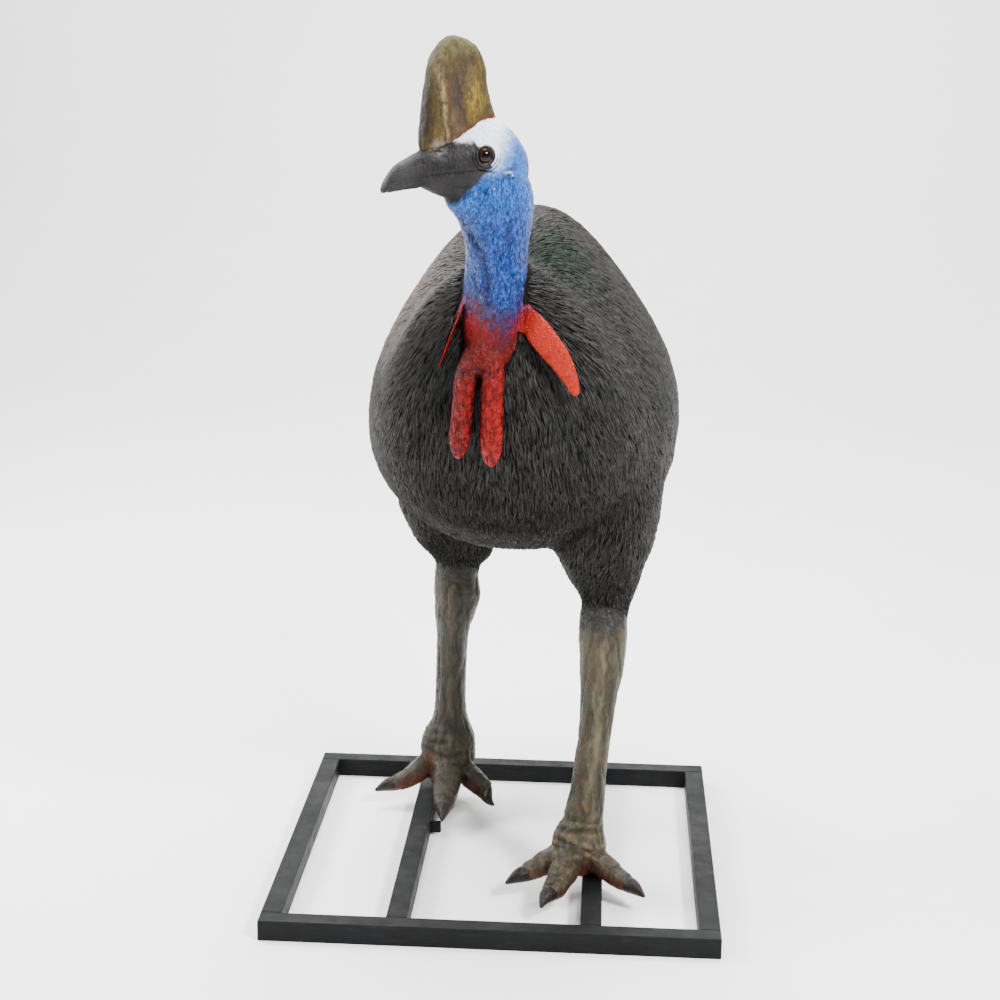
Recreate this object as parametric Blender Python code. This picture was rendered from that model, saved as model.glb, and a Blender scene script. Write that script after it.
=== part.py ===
"""A life-size painted resin statue of a cassowary, welded to an open stand of square steel tube.

The stand's centre is the working origin: +X is the viewer's right, -Y comes towards the viewer
and +Z is up.  The bird faces the viewer, turned a little to the viewer's left, with its head
turned further the same way.  At the end everything moves together so that the origin lies
under the middle of the whole.
"""
import math

import bmesh
import bpy
import numpy as np
from mathutils import Matrix, Vector

# the stand
TUBE = 0.040
STAND_SIDE = 0.870
BAR_LEFT_X = -0.1765
BAR_RIGHT_X = 0.1912
TAB_TOP = 0.033
TAB_THICK = 0.006
TAB_EASE = 0.0012
TUBE_EASE = 0.0015
# each tab: its side, the bar edge it is welded to, which way it stands out, how far, how far its
# lower edge is from the floor, and its place along the bar
TABS = (
    ("left", BAR_LEFT_X + TUBE / 2, 1, 0.023, 0.005, 0.082),
    ("right", BAR_RIGHT_X - TUBE / 2, -1, 0.012, 0.018, -0.200),
)

# how a section is drawn in towards its ridge: the power it starts with and the one it ends with
SLIM_START = 2.2
SLIM_END = 0.45

# clearance that touching meshes keep
GAP = 0.0003

# a cut that leaves less than this share of a piece's surface has failed
LEAST_LEFT = 0.3

# where the bird stands and how it is turned
BODY_X = 0.029
BODY_Y = 0.050
HEADING = math.radians(5.0)
HEAD_HEADING = math.radians(58.0)
HEAD_X = -0.050
HEAD_Y = -0.356
HEAD_Z = 1.455

# the trunk: its sections are measured down from this height, its foremost ones fan out about a
# line at that height, and the whole leans a little to the viewer's left
PIVOT_Z = 1.360
LEAN = math.radians(3.0)
LEAN_Z = 1.010
TRUNK_SQUARE = 2.1
TRUNK_SLIM = 0.60
TRUNK_KEEL = 0.05

# legs
SOLE_Z = TUBE + GAP
TOE_HALF = 0.0235
CLAW_LENGTH = 0.040

# head
EYE_RADIUS = 0.0125
EYE_OUT = 0.0375
EYE_UP = 0.008

# colours as painted
PLUMAGE = "#2f2f2d"
BLUE = "#3f72c4"
RED = "#c8321f"
HORN = "#7d6a35"
BEAK = "#2f3033"
LEG = "#6a5c43"
CLAW = "#3a2f2e"
STEEL = "#343739"
IRIS = "#3a1f12"


def linear(hex_colour):
    """An sRGB hex colour as linear RGBA."""
    rgb = [int(hex_colour[i:i + 2], 16) / 255 for i in (1, 3, 5)]
    return [c / 12.92 if c <= 0.04045 else ((c + 0.055) / 1.055) ** 2.4 for c in rgb] + [1.0]


def finish(name, hex_colour, roughness, metallic=0.0):
    """A Principled material of one colour."""
    mat = bpy.data.materials.get(name)
    if mat is None:
        mat = bpy.data.materials.new(name)
        mat.use_nodes = True
        shader = mat.node_tree.nodes["Principled BSDF"]
        shader.inputs["Base Color"].default_value = linear(hex_colour)
        shader.inputs["Roughness"].default_value = roughness
        shader.inputs["Metallic"].default_value = metallic
    return mat


def flat(angle):
    """The level direction that faces the viewer and is turned by angle to the viewer's left."""
    return Vector((-math.sin(angle), -math.cos(angle), 0.0))


def leftward(angle):
    """The bird's own left for that direction."""
    return Vector((math.cos(angle), -math.sin(angle), 0.0))


UP = Vector((0.0, 0.0, 1.0))
FORE = flat(HEADING)
LEFT = leftward(HEADING)
HEAD_FORE = flat(HEAD_HEADING)
HEAD_LEFT = leftward(HEAD_HEADING)


def on_body(ahead, left, height):
    """A point of the body's frame: ahead of its middle, to its left, above the floor."""
    return Vector((BODY_X, BODY_Y, 0.0)) + FORE * ahead + LEFT * left + UP * height


def on_head(ahead, left, rise):
    """A point of the head's frame, from the middle of the skull between the eyes."""
    return Vector((HEAD_X, HEAD_Y, HEAD_Z)) + HEAD_FORE * ahead + HEAD_LEFT * left + UP * rise


def smooth_rows(rows, steps):
    """Rows of numbers joined by a Catmull-Rom curve, with steps rows for each stretch."""
    rows = np.array(rows, float)
    padded = np.vstack([2 * rows[0] - rows[1], rows, 2 * rows[-1] - rows[-2]])
    out = []
    for i in range(len(rows) - 1):
        p0, p1, p2, p3 = padded[i:i + 4]
        for k in range(steps):
            t = k / steps
            out.append(0.5 * (2 * p1 + (p2 - p0) * t + (2 * p0 - 5 * p1 + 4 * p2 - p3) * t ** 2
                              + (3 * p1 - p0 - 3 * p2 + p3) * t ** 3))
    out.append(rows[-1])
    return np.array(out)


def section(centre, side, rise, half, above, below, count, square=2.0, slim=0.0, keel=0.0):
    """One closed section: half wide to each side, above and below high from its centre.

    square over 2 makes it boxier, slim draws in its upper part towards the ridge and keel its
    lower part.
    """
    points = []
    for k in range(count):
        turn = 2 * math.pi * (k + 0.5) / count
        c, s = math.cos(turn), math.sin(turn)
        x = math.copysign(abs(c) ** (2 / square), c)
        y = math.copysign(abs(s) ** (2 / square), s)
        if y > 0:
            x *= 1 - slim * y ** SLIM_START * (1 - y) ** SLIM_END
        else:
            x *= 1 - keel * y * y
        points.append(centre + side * (x * half) + rise * (y * (above if y > 0 else below)))
    return points


def skin(name, rings, material):
    """A closed solid through a list of sections, with a point in the middle of each end."""
    bm = bmesh.new()
    loops = [[bm.verts.new(p) for p in ring] for ring in rings]
    count = len(rings[0])
    for a, b in zip(loops, loops[1:]):
        for k in range(count):
            n = (k + 1) % count
            bm.faces.new((a[k], a[n], b[n], b[k]))
    for loop in (loops[0], loops[-1]):
        middle = bm.verts.new(sum((v.co for v in loop), Vector()) / count)
        for k in range(count):
            bm.faces.new((middle, loop[k], loop[(k + 1) % count]))
    bmesh.ops.recalc_face_normals(bm, faces=bm.faces)
    if bm.calc_volume(signed=True) < 0:
        bmesh.ops.reverse_faces(bm, faces=bm.faces)
    bmesh.ops.triangulate(bm, faces=[f for f in bm.faces if len(f.verts) > 4])
    mesh = bpy.data.meshes.new(name)
    bm.to_mesh(mesh)
    bm.free()
    return add(name, mesh, material)


def add(name, mesh, material):
    """A smooth-shaded object of that mesh and material."""
    mesh.shade_smooth()
    mesh.set_sharp_from_angle(angle=math.radians(40))
    mesh.materials.clear()
    mesh.materials.append(material)
    ob = bpy.data.objects.new(name, mesh)
    bpy.context.collection.objects.link(ob)
    return ob


def tube(name, stations, steps, count, material, side=None, square=2.0, round_ends=(False, True)):
    """A round solid along a path.

    Each station is x, y, z, half width, half depth.  The sections stand across the path, with
    their width along side as far as the path allows.
    """
    rows = smooth_rows(stations, steps)
    side = side or LEFT
    rings = []
    last = len(rows) - 1
    for i, row in enumerate(rows):
        ahead = Vector(rows[min(i + 1, last)][:3]) - Vector(rows[max(i - 1, 0)][:3])
        ahead.normalize()
        across = (side - ahead * side.dot(ahead)).normalized()
        depth = ahead.cross(across)
        rings.append((Vector(row[:3]), ahead, across, depth, row[3], row[4]))
    out = []
    if round_ends[0]:
        out += dome(rings[0], -1, count, square)
    out += [section(c, a, d, w, h, h, count, square) for c, _, a, d, w, h in rings]
    if round_ends[1]:
        out += dome(rings[-1], 1, count, square)
    return skin(name, out, material)


def dome(ring, way, count, square):
    """Two shrinking sections that close a round end, in order along the path."""
    centre, ahead, across, depth, half, high = ring
    reach = min(half, high)
    caps = []
    for turn in (35, 65):
        push = reach * math.sin(math.radians(turn)) * 0.9
        scale = math.cos(math.radians(turn))
        caps.append(section(centre + ahead * (push * way), across, depth, half * scale,
                            high * scale, high * scale, count, square))
    return caps if way > 0 else caps[::-1]


def baked(ob):
    """The object's mesh as its modifiers leave it."""
    bpy.context.view_layer.update()
    graph = bpy.context.evaluated_depsgraph_get()
    return bpy.data.meshes.new_from_object(ob.evaluated_get(graph))


def grown(ob, distance):
    """A hidden copy of the object, larger by distance all round, to cut with."""
    mesh = ob.data.copy()
    normals = [v.normal.copy() for v in mesh.vertices]
    for v, n in zip(mesh.vertices, normals):
        v.co += n * distance
    tool = bpy.data.objects.new(ob.name + "_cutter", mesh)
    bpy.context.collection.objects.link(tool)
    tool.hide_render = True
    tool.display_type = "WIRE"
    return tool


def area(mesh):
    """The whole surface of a mesh."""
    return sum(p.area for p in mesh.polygons)


def take_away(ob, tool):
    """Cut the tool out of the object and keep the result as its mesh.

    Where the exact solver loses most of the piece, the other solver does the cut.
    """
    mod = ob.modifiers.new("cut", "BOOLEAN")
    mod.operation = "DIFFERENCE"
    mod.solver = "EXACT"
    mod.object = tool
    mesh = baked(ob)
    if area(mesh) < LEAST_LEFT * area(ob.data):
        mod.solver = "MANIFOLD"
        mesh = baked(ob)
    ob.modifiers.remove(mod)
    material = ob.data.materials[0]
    ob.data = mesh
    ob.data.materials.clear()
    ob.data.materials.append(material)


def cut(ob, *neighbours):
    """Cut each neighbour out of the object, a gap larger, and keep the largest piece left."""
    for neighbour in neighbours:
        tool = grown(neighbour, GAP * 1.3)
        take_away(ob, tool)
        bpy.data.objects.remove(tool)
    keep_largest(ob)


def keep_largest(ob):
    """Keep only the largest closed surface of the object's mesh."""
    bm = bmesh.new()
    bm.from_mesh(ob.data)
    bmesh.ops.remove_doubles(bm, verts=bm.verts, dist=0.00002)
    bmesh.ops.dissolve_degenerate(bm, edges=bm.edges, dist=0.00001)
    left = set(bm.verts)
    islands = []
    while left:
        todo = [left.pop()]
        island = set(todo)
        while todo:
            for edge in todo.pop().link_edges:
                for v in edge.verts:
                    if v in left:
                        left.remove(v)
                        island.add(v)
                        todo.append(v)
        islands.append(island)
    islands.sort(key=lambda island: sum(f.calc_area() for v in island for f in v.link_faces))
    bmesh.ops.delete(bm, geom=[v for island in islands[:-1] for v in island], context="VERTS")
    bmesh.ops.triangulate(bm, faces=[f for f in bm.faces if len(f.verts) > 4])
    bm.to_mesh(ob.data)
    bm.free()
    ob.data.shade_smooth()
    ob.data.set_sharp_from_angle(angle=math.radians(40))


def box(name, low, high, material, bevel=0.0):
    """A box between two corners, with its long edges eased."""
    bm = bmesh.new()
    bmesh.ops.create_cube(bm, size=1.0)
    low, high = Vector(low), Vector(high)
    for v in bm.verts:
        v.co = low + Vector([(v.co[i] + 0.5) * (high[i] - low[i]) for i in range(3)])
    if bevel:
        bmesh.ops.bevel(bm, geom=bm.edges[:], offset=bevel, segments=1, affect="EDGES")
    mesh = bpy.data.meshes.new(name)
    bm.to_mesh(mesh)
    bm.free()
    return add(name, mesh, material)


def make_stand():
    """The square frame of four rails, its two cross bars and the tabs the feet bolt to."""
    steel = finish("painted_steel", STEEL, 0.45, 0.3)
    half = STAND_SIDE / 2
    inner = half - TUBE
    box("stand_rail_front", (-half, -half, 0), (half, -inner, TUBE), steel, TUBE_EASE)
    box("stand_rail_back", (-half, inner, 0), (half, half, TUBE), steel, TUBE_EASE)
    for name, low, high in (("left", -half, -inner), ("right", inner, half)):
        box("stand_rail_" + name, (low, -inner + GAP, 0), (high, inner - GAP, TUBE), steel, TUBE_EASE)
    for name, x in (("left", BAR_LEFT_X), ("right", BAR_RIGHT_X)):
        box("stand_bar_" + name, (x - TUBE / 2, -inner + GAP, 0),
            (x + TUBE / 2, inner - GAP, TUBE), steel, TUBE_EASE)
    for name, edge, way, reach, foot, y in TABS:
        a = edge + way * GAP
        b = edge + way * (GAP + reach)
        box("stand_tab_" + name, (min(a, b), y - TAB_THICK / 2, foot),
            (max(a, b), y + TAB_THICK / 2, TAB_TOP), steel, TAB_EASE)


# sections of the trunk, tail to shoulders: ahead, turn of the section in degrees, then how far
# its ridge, its widest line and its keel lie from the pivot line's height, and its half width
TRUNK = (
    (-0.620, 0, 0.480, 0.535, 0.590, 0.040),
    (-0.575, 0, 0.360, 0.490, 0.630, 0.122),
    (-0.480, 0, 0.235, 0.465, 0.672, 0.198),
    (-0.340, 0, 0.128, 0.450, 0.702, 0.253),
    (-0.180, 0, 0.050, 0.440, 0.710, 0.289),
    (-0.030, 0, 0.022, 0.440, 0.704, 0.305),
    (0.100, 0, 0.035, 0.440, 0.686, 0.298),
    (0.200, 0, 0.065, 0.430, 0.653, 0.270),
    (0.200, 15, 0.085, 0.380, 0.575, 0.232),
    (0.200, 28, 0.100, 0.310, 0.445, 0.190),
    (0.200, 38, 0.115, 0.235, 0.335, 0.142),
    (0.200, 48, 0.130, 0.190, 0.262, 0.092),
    (0.200, 56, 0.145, 0.175, 0.215, 0.050),
)
RUMP_SPLIT = 6


def trunk_rings(steps, count):
    """All the trunk's sections, tail to shoulders."""
    rings = []
    middle = on_body(0, 0, LEAN_Z)
    lean = Matrix.Rotation(LEAN, 4, FORE)
    for ahead, turn, near, waist, far, half in smooth_rows(TRUNK, steps):
        turn = math.radians(max(turn, 0))
        out = FORE * math.sin(turn) - UP * math.cos(turn)
        centre = on_body(ahead, 0, PIVOT_Z) + out * waist
        ring = section(centre, LEFT, -out, half, waist - near, far - waist, count,
                       TRUNK_SQUARE, TRUNK_SLIM, TRUNK_KEEL)
        rings.append([middle + lean @ (p - middle) for p in ring])
    return rings


def make_trunk():
    """The torso and the rump behind it, parted by one thin cut across the body."""
    plumage = finish("plumage_paint", PLUMAGE, 0.7)
    rings = trunk_rings(2, 36)
    shift = FORE * GAP
    rump = skin("rump", rings[:RUMP_SPLIT + 1], plumage)
    torso = skin("torso", [[p + shift for p in ring] for ring in rings[RUMP_SPLIT:]], plumage)
    return torso, rump


# the neck from inside the chest to inside the skull: ahead, left and height of its middle, then
# its half width and how far it reaches in front and behind
NECK = (
    (0.352, -0.013, 1.060, 0.050, 0.050, 0.050),
    (0.360, -0.010, 1.110, 0.061, 0.060, 0.058),
    (0.362, -0.010, 1.170, 0.062, 0.062, 0.060),
    (0.358, -0.009, 1.240, 0.056, 0.064, 0.058),
    (0.356, -0.004, 1.300, 0.051, 0.076, 0.057),
    (0.362, 0.000, 1.345, 0.050, 0.096, 0.061),
    (0.368, 0.000, 1.385, 0.049, 0.115, 0.063),
    (0.372, -0.001, 1.420, 0.043, 0.104, 0.052),
)


def make_neck():
    """The bare neck, turning from the body's heading to the head's as it rises."""
    paint = finish("neck_paint", BLUE, 0.5)
    rings = []
    for ahead, left, height, half, front, back in smooth_rows(NECK, 3):
        share = min(1.0, max(0.0, (height - 1.20) / 0.22))
        turn = HEADING + (HEAD_HEADING - HEADING) * share
        rings.append(section(on_body(ahead, left, height), leftward(turn), flat(turn), half,
                             front, back, 20))
    return skin("neck", rings, paint)


# the skull from nape to face: ahead, rise of its middle, half width, above, below
SKULL = (
    (-0.101, -0.020, 0.016, 0.018, 0.020),
    (-0.089, -0.014, 0.036, 0.038, 0.045),
    (-0.060, -0.006, 0.047, 0.062, 0.060),
    (-0.025, 0.000, 0.049, 0.066, 0.060),
    (0.015, 0.000, 0.047, 0.058, 0.060),
    (0.050, -0.002, 0.041, 0.046, 0.060),
    (0.078, -0.006, 0.033, 0.034, 0.050),
    (0.098, -0.012, 0.028, 0.026, 0.036),
    (0.108, -0.014, 0.0255, 0.0225, 0.031),
)

# the bill from its root to its tip: ahead, rise of the gape line, half width, height above it
BILL = (
    (0.109, -0.0270, 0.0255, 0.0350),
    (0.124, -0.0300, 0.0220, 0.0300),
    (0.146, -0.0355, 0.0170, 0.0245),
    (0.161, -0.0410, 0.0120, 0.0185),
    (0.171, -0.0460, 0.0075, 0.0110),
    (0.177, -0.0520, 0.0035, 0.0045),
)


def bill_section(ahead, rise, half, tall, upper, count=16):
    """Half a section of the bill: a vault over the gape line, or a keel under it."""
    centre = on_head(ahead, 0, rise)
    points = []
    for k in range(count):
        turn = math.pi * k / (count - 1)
        side = half * math.cos(turn)
        lift = tall * math.sin(turn) ** 0.8
        points.append(centre + HEAD_LEFT * side + UP * (lift if upper else -lift))
    return points


def make_head():
    """The skull, the two halves of the bill and the eyes."""
    paint = finish("head_paint", BLUE, 0.5)
    beak = finish("bill_paint", BEAK, 0.4)
    glass = finish("eye_gloss", IRIS, 0.08)
    rings = [section(on_head(ahead, 0, rise), HEAD_LEFT, UP, half, above, below, 20, 2.1)
             for ahead, rise, half, above, below in smooth_rows(SKULL, 2)]
    head = skin("head", rings, paint)
    rows = smooth_rows(BILL, 2)
    skin("bill_upper", [bill_section(*row, True) for row in rows], beak)
    skin("bill_lower", [bill_section(a, r - GAP * 2, h * 0.94, t * 0.5, False)
                        for a, r, h, t in rows[:-3]], beak)
    for name, way in (("left", 1), ("right", -1)):
        mesh = bpy.data.meshes.new("eye")
        bm = bmesh.new()
        bmesh.ops.create_uvsphere(bm, u_segments=12, v_segments=8, radius=EYE_RADIUS)
        bm.to_mesh(mesh)
        bm.free()
        for v in mesh.vertices:
            v.co += on_head(0.0, way * EYE_OUT, EYE_UP)
        eye = add("eye_" + name, mesh, glass)
        cut(head, eye)
    return head


# the casque: rise over the head's middle, where its front and back edges are, half thickness
CASQUE = (
    (0.000, 0.096, -0.030, 0.024),
    (0.030, 0.104, -0.048, 0.028),
    (0.060, 0.101, -0.044, 0.030),
    (0.095, 0.097, -0.030, 0.029),
    (0.130, 0.092, -0.020, 0.027),
    (0.165, 0.084, -0.013, 0.024),
    (0.192, 0.067, 0.001, 0.019),
    (0.206, 0.048, 0.017, 0.010),
)


def make_casque(head):
    """The tall blunt horn on the crown, a flattened cone that leans back a little."""
    horn = finish("casque_paint", HORN, 0.6)
    rings = []
    for rise, front, back, half in smooth_rows(CASQUE, 2):
        centre = on_head((front + back) / 2, 0, rise)
        rings.append(section(centre, HEAD_LEFT, HEAD_FORE, half, (front - back) / 2,
                             (front - back) / 2, 18, 2.4))
    casque = skin("casque", rings, horn)
    cut(casque, head)
    return casque


def body_row(ahead, left, height, *sizes):
    """A station of a path, given in the body's frame."""
    return (*on_body(ahead, left, height), *sizes)


def make_wattles(neck, torso):
    """Two long wattles hanging in front of the chest and a flat lappet on each side."""
    paint = finish("wattle_paint", RED, 0.5)
    rows = {
        "wattle_right": ((0.400, -0.040, 1.125, 0.014, 0.012), (0.424, -0.049, 1.085, 0.020, 0.016),
                         (0.430, -0.0535, 1.030, 0.0195, 0.016), (0.430, -0.058, 0.975, 0.0195, 0.016),
                         (0.430, -0.062, 0.938, 0.017, 0.0145)),
        "wattle_left": ((0.400, 0.004, 1.125, 0.014, 0.012), (0.424, -0.001, 1.085, 0.0205, 0.016),
                        (0.430, -0.002, 1.030, 0.020, 0.016), (0.430, -0.002, 0.965, 0.0205, 0.016),
                        (0.430, -0.002, 0.926, 0.018, 0.015)),
        "lappet_left": ((0.385, 0.040, 1.190, 0.007, 0.020), (0.405, 0.066, 1.165, 0.007, 0.024),
                        (0.412, 0.087, 1.141, 0.0065, 0.024), (0.416, 0.108, 1.117, 0.006, 0.0215),
                        (0.416, 0.128, 1.083, 0.0055, 0.015), (0.414, 0.139, 1.055, 0.005, 0.008)),
        "lappet_right": ((0.380, -0.054, 1.215, 0.014, 0.006), (0.392, -0.076, 1.180, 0.022, 0.005),
                         (0.400, -0.091, 1.138, 0.024, 0.0045), (0.402, -0.104, 1.102, 0.014, 0.004)),
    }
    made = []
    for name, stations in rows.items():
        hanging = name.startswith("wattle")
        piece = tube(name, [body_row(*r) for r in stations], 2, 14 if hanging else 12, paint,
                     side=LEFT if hanging else FORE, round_ends=(hanging, True))
        cut(piece, neck, torso, *made)
        made.append(piece)
    return made


# each leg: which side of the bird, and its stations
THIGH = {
    "left": ((0.080, 0.170, 0.860, 0.112, 0.140), (0.075, 0.178, 0.740, 0.110, 0.130),
             (0.055, 0.168, 0.660, 0.090, 0.100), (0.040, 0.176, 0.600, 0.064, 0.068),
             (0.034, 0.180, 0.555, 0.050, 0.052), (0.030, 0.181, 0.530, 0.045, 0.047)),
    "right": ((-0.150, -0.155, 0.860, 0.110, 0.140), (-0.190, -0.175, 0.740, 0.114, 0.130),
              (-0.225, -0.182, 0.660, 0.102, 0.100), (-0.240, -0.173, 0.600, 0.079, 0.072),
              (-0.252, -0.169, 0.560, 0.055, 0.056), (-0.258, -0.168, 0.535, 0.048, 0.050)),
}

# the scaled leg under the feathers, in the stand's own frame: x, y, z, half width, half depth
SHANK = {
    "left": ((0.195, -0.015, 0.560, 0.038, 0.040), (0.196, -0.030, 0.525, 0.045, 0.046),
             (0.197, -0.048, 0.487, 0.0465, 0.052), (0.196, -0.060, 0.445, 0.043, 0.044),
             (0.193, -0.072, 0.395, 0.0365, 0.034), (0.190, -0.086, 0.330, 0.0310, 0.031),
             (0.183, -0.100, 0.260, 0.0305, 0.031), (0.177, -0.114, 0.190, 0.0330, 0.032),
             (0.171, -0.124, 0.145, 0.039, 0.038)),
    "right": ((-0.123, 0.302, 0.560, 0.042, 0.042), (-0.123, 0.300, 0.525, 0.047, 0.048),
              (-0.124, 0.298, 0.480, 0.0480, 0.052), (-0.126, 0.295, 0.435, 0.039, 0.042),
              (-0.129, 0.292, 0.390, 0.029, 0.033), (-0.131, 0.289, 0.330, 0.0275, 0.030),
              (-0.132, 0.286, 0.260, 0.0275, 0.030), (-0.132, 0.282, 0.210, 0.0300, 0.032),
              (-0.132, 0.279, 0.175, 0.040, 0.040)),
}

# the flared hub of each foot, top to sole: x, y, z, half width, half depth
HUB = {
    "left": ((0.170, -0.126, 0.140, 0.038, 0.038), (0.164, -0.132, 0.115, 0.048, 0.048),
             (0.163, -0.137, 0.088, 0.055, 0.055), (0.165, -0.140, 0.064, 0.050, 0.054),
             (0.168, -0.142, SOLE_Z, 0.038, 0.046)),
    "right": ((-0.133, 0.278, 0.180, 0.040, 0.040), (-0.134, 0.276, 0.155, 0.055, 0.050),
              (-0.134, 0.272, 0.125, 0.060, 0.054), (-0.131, 0.268, 0.092, 0.054, 0.052),
              (-0.136, 0.270, 0.060, 0.040, 0.046), (-0.138, 0.272, SOLE_Z, 0.030, 0.038)),
}

# the toes of each foot: heading to the viewer's left of straight ahead in degrees, length, how
# wide, how high the middle of the root lies, and how far the tip hangs below the bar's top
TOES = {
    "left": {"inner": (58, 0.167, 1.0, 0.074, 0.005), "middle": (19.5, 0.201, 1.10, 0.078, 0.006),
             "outer": (-47, 0.179, 1.0, 0.072, 0.006)},
    "right": {"inner": (-47, 0.156, 0.92, 0.106, 0.005), "middle": (-1, 0.200, 1.15, 0.098, 0.006),
              "outer": (71, 0.166, 1.0, 0.106, 0.003)},
}
# along a toe: share of its length, how wide and high against the usual half, how far its middle
# has come down from the root to the ground, and what share of the tip's hang it has
TOE_SHAPE = (
    (0.05, 1.25, 1.35, 0.00, 0.0),
    (0.30, 1.15, 1.15, 0.22, 0.0),
    (0.47, 1.00, 0.94, 0.52, 0.0),
    (0.62, 1.00, 0.94, 0.80, 0.2),
    (0.76, 0.86, 0.82, 0.95, 0.7),
    (0.88, 0.84, 0.78, 1.00, 1.0),
    (1.00, 0.62, 0.60, 1.00, 1.0),
)
# along a claw: share of its length past the toe, half width, half height, middle over the sole
CLAW_SHAPE = (
    (-0.25, 0.0126, 0.0139, 0.0150),
    (0.10, 0.0122, 0.0135, 0.0145),
    (0.40, 0.0096, 0.0107, 0.0115),
    (0.70, 0.0063, 0.0070, 0.0075),
    (0.94, 0.0030, 0.0033, 0.0038),
)


def make_leg(side, torso, rump, other_side):
    """One leg: feathered thigh, scaled shank, the foot's hub, its three toes and their claws."""
    plumage = finish("plumage_paint", PLUMAGE, 0.7)
    scales = finish("leg_paint", LEG, 0.6)
    horn = finish("claw_paint", CLAW, 0.45)
    shank = tube("shank_" + side, SHANK[side], 2, 14, scales)
    thigh = tube("thigh_" + side, [body_row(*r) for r in THIGH[side]], 2, 22, plumage,
                 round_ends=(True, True))
    cut(thigh, torso, rump, shank, *other_side)
    hub = skin("foot_" + side, [section(Vector(row[:3]), LEFT, FORE, row[3], row[4], row[4], 16)
                                for row in smooth_rows(HUB[side], 2)], scales)
    cut(shank, hub)
    x, y = HUB[side][2][:2]
    toes = []
    for name, (degrees, length, wide, root, hang) in TOES[side].items():
        ahead = flat(math.radians(degrees))
        across = ahead.cross(UP)
        base = Vector((x, y, 0))
        reach = length - CLAW_LENGTH
        rows = []
        for share, half, tall, sink, low in TOE_SHAPE:
            high = TOE_HALF * tall
            rest = SOLE_Z + high
            middle = max(rest, root * (1 - sink) + rest * sink) - hang * low
            at = base + ahead * (reach * share) + UP * middle
            rows.append((*at, TOE_HALF * half * wide, high))
        toe = tube(f"toe_{side}_{name}", rows, 1, 14, scales, side=across, square=2.8)
        cut(toe, hub, *toes)
        cut(shank, toe)
        rows = []
        for share, half, tall, lift in CLAW_SHAPE:
            at = base + ahead * (reach + CLAW_LENGTH * share) + UP * (SOLE_Z + lift - hang)
            rows.append((*at, half, tall))
        claw = tube(f"claw_{side}_{name}", rows, 1, 10, horn, side=across)
        cut(toe, claw)
        toes.append(toe)
    return [thigh]


def centre_on_origin():
    """Move everything so that the origin is under the middle of the whole, on the floor."""
    points = [v.co for ob in bpy.data.objects for v in ob.data.vertices]
    low = Vector([min(p[i] for p in points) for i in range(3)])
    high = Vector([max(p[i] for p in points) for i in range(3)])
    shift = Vector((-(low.x + high.x) / 2, -(low.y + high.y) / 2, -low.z))
    for mesh in {ob.data for ob in bpy.data.objects}:
        for v in mesh.vertices:
            v.co += shift


def main():
    for ob in list(bpy.data.objects):
        bpy.data.objects.remove(ob)
    make_stand()
    torso, rump = make_trunk()
    neck = make_neck()
    head = make_head()
    cut(neck, head, torso)
    make_casque(head)
    make_wattles(neck, torso)
    thighs = make_leg("left", torso, rump, [])
    make_leg("right", torso, rump, thighs)
    centre_on_origin()


main()
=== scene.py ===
# %% [markdown]
# # A painted statue of a cassowary
# The real thing is a life-size bird cast in resin, carved, painted by hand and welded to an open
# frame of square steel tube.  Its solids come from a CAD step.  This lesson dresses them: one skin
# for the flesh, a coat of carved strands, horn, claws, eyes, paint, and the steel stand.

# %% Load the solids
import math

import bmesh
import bpy
import numpy as np
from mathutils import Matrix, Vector, noise
from mathutils.bvhtree import BVHTree
from mathutils.kdtree import KDTree


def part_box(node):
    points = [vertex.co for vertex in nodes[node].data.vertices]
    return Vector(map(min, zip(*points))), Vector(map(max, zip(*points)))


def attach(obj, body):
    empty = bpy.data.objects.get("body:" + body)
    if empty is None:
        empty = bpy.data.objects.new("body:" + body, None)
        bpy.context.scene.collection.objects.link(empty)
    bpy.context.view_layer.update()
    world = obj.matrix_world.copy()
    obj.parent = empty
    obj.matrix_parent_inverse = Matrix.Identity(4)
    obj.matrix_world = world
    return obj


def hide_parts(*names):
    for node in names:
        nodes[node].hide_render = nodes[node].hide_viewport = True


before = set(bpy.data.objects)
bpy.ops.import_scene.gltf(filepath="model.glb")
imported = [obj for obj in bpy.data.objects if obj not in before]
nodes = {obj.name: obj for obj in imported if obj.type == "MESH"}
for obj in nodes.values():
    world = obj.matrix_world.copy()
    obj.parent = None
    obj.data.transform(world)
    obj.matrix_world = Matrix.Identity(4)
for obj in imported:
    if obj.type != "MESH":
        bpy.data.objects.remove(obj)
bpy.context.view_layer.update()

# %% [markdown]
# ## Where the bird stands
# Every size below is in metres, and is measured from the middle of the stand.  The bird faces the
# viewer, turned a little aside, and its head is turned further.  Two small frames of directions
# let us talk about "ahead", "left" and "up" of the body and of the head.

# %% The frames of the body and the head
front_low, front_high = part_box("stand_rail_front")
back_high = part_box("stand_rail_back")[1]
STAND = Vector(((front_low.x + front_high.x) / 2, (front_low.y + back_high.y) / 2, 0.0))
UP = Vector((0.0, 0.0, 1.0))


def facing(degrees):
    """The level directions ahead and to the left of something turned from the viewer."""
    turn = math.radians(degrees)
    return (Vector((-math.sin(turn), -math.cos(turn), 0.0)),
            Vector((math.cos(turn), -math.sin(turn), 0.0)))


AHEAD, LEFT = facing(5)
HEAD_AHEAD, HEAD_LEFT = facing(58)
BODY = STAND + Vector((0.029, 0.05, 0.0))
HEAD = STAND + Vector((-0.05, -0.356, 1.455))
MID_LEGS = STAND.x + 0.03
print("stand at", tuple(round(c, 4) for c in STAND))


# %% Measure many points in a frame at once
def in_frame(points, origin, ahead, left):
    """How far ahead, left and up of the origin each point lies."""
    local = points - np.array(origin)
    return local @ np.array(ahead), local @ np.array(left), local[:, 2]


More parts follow.
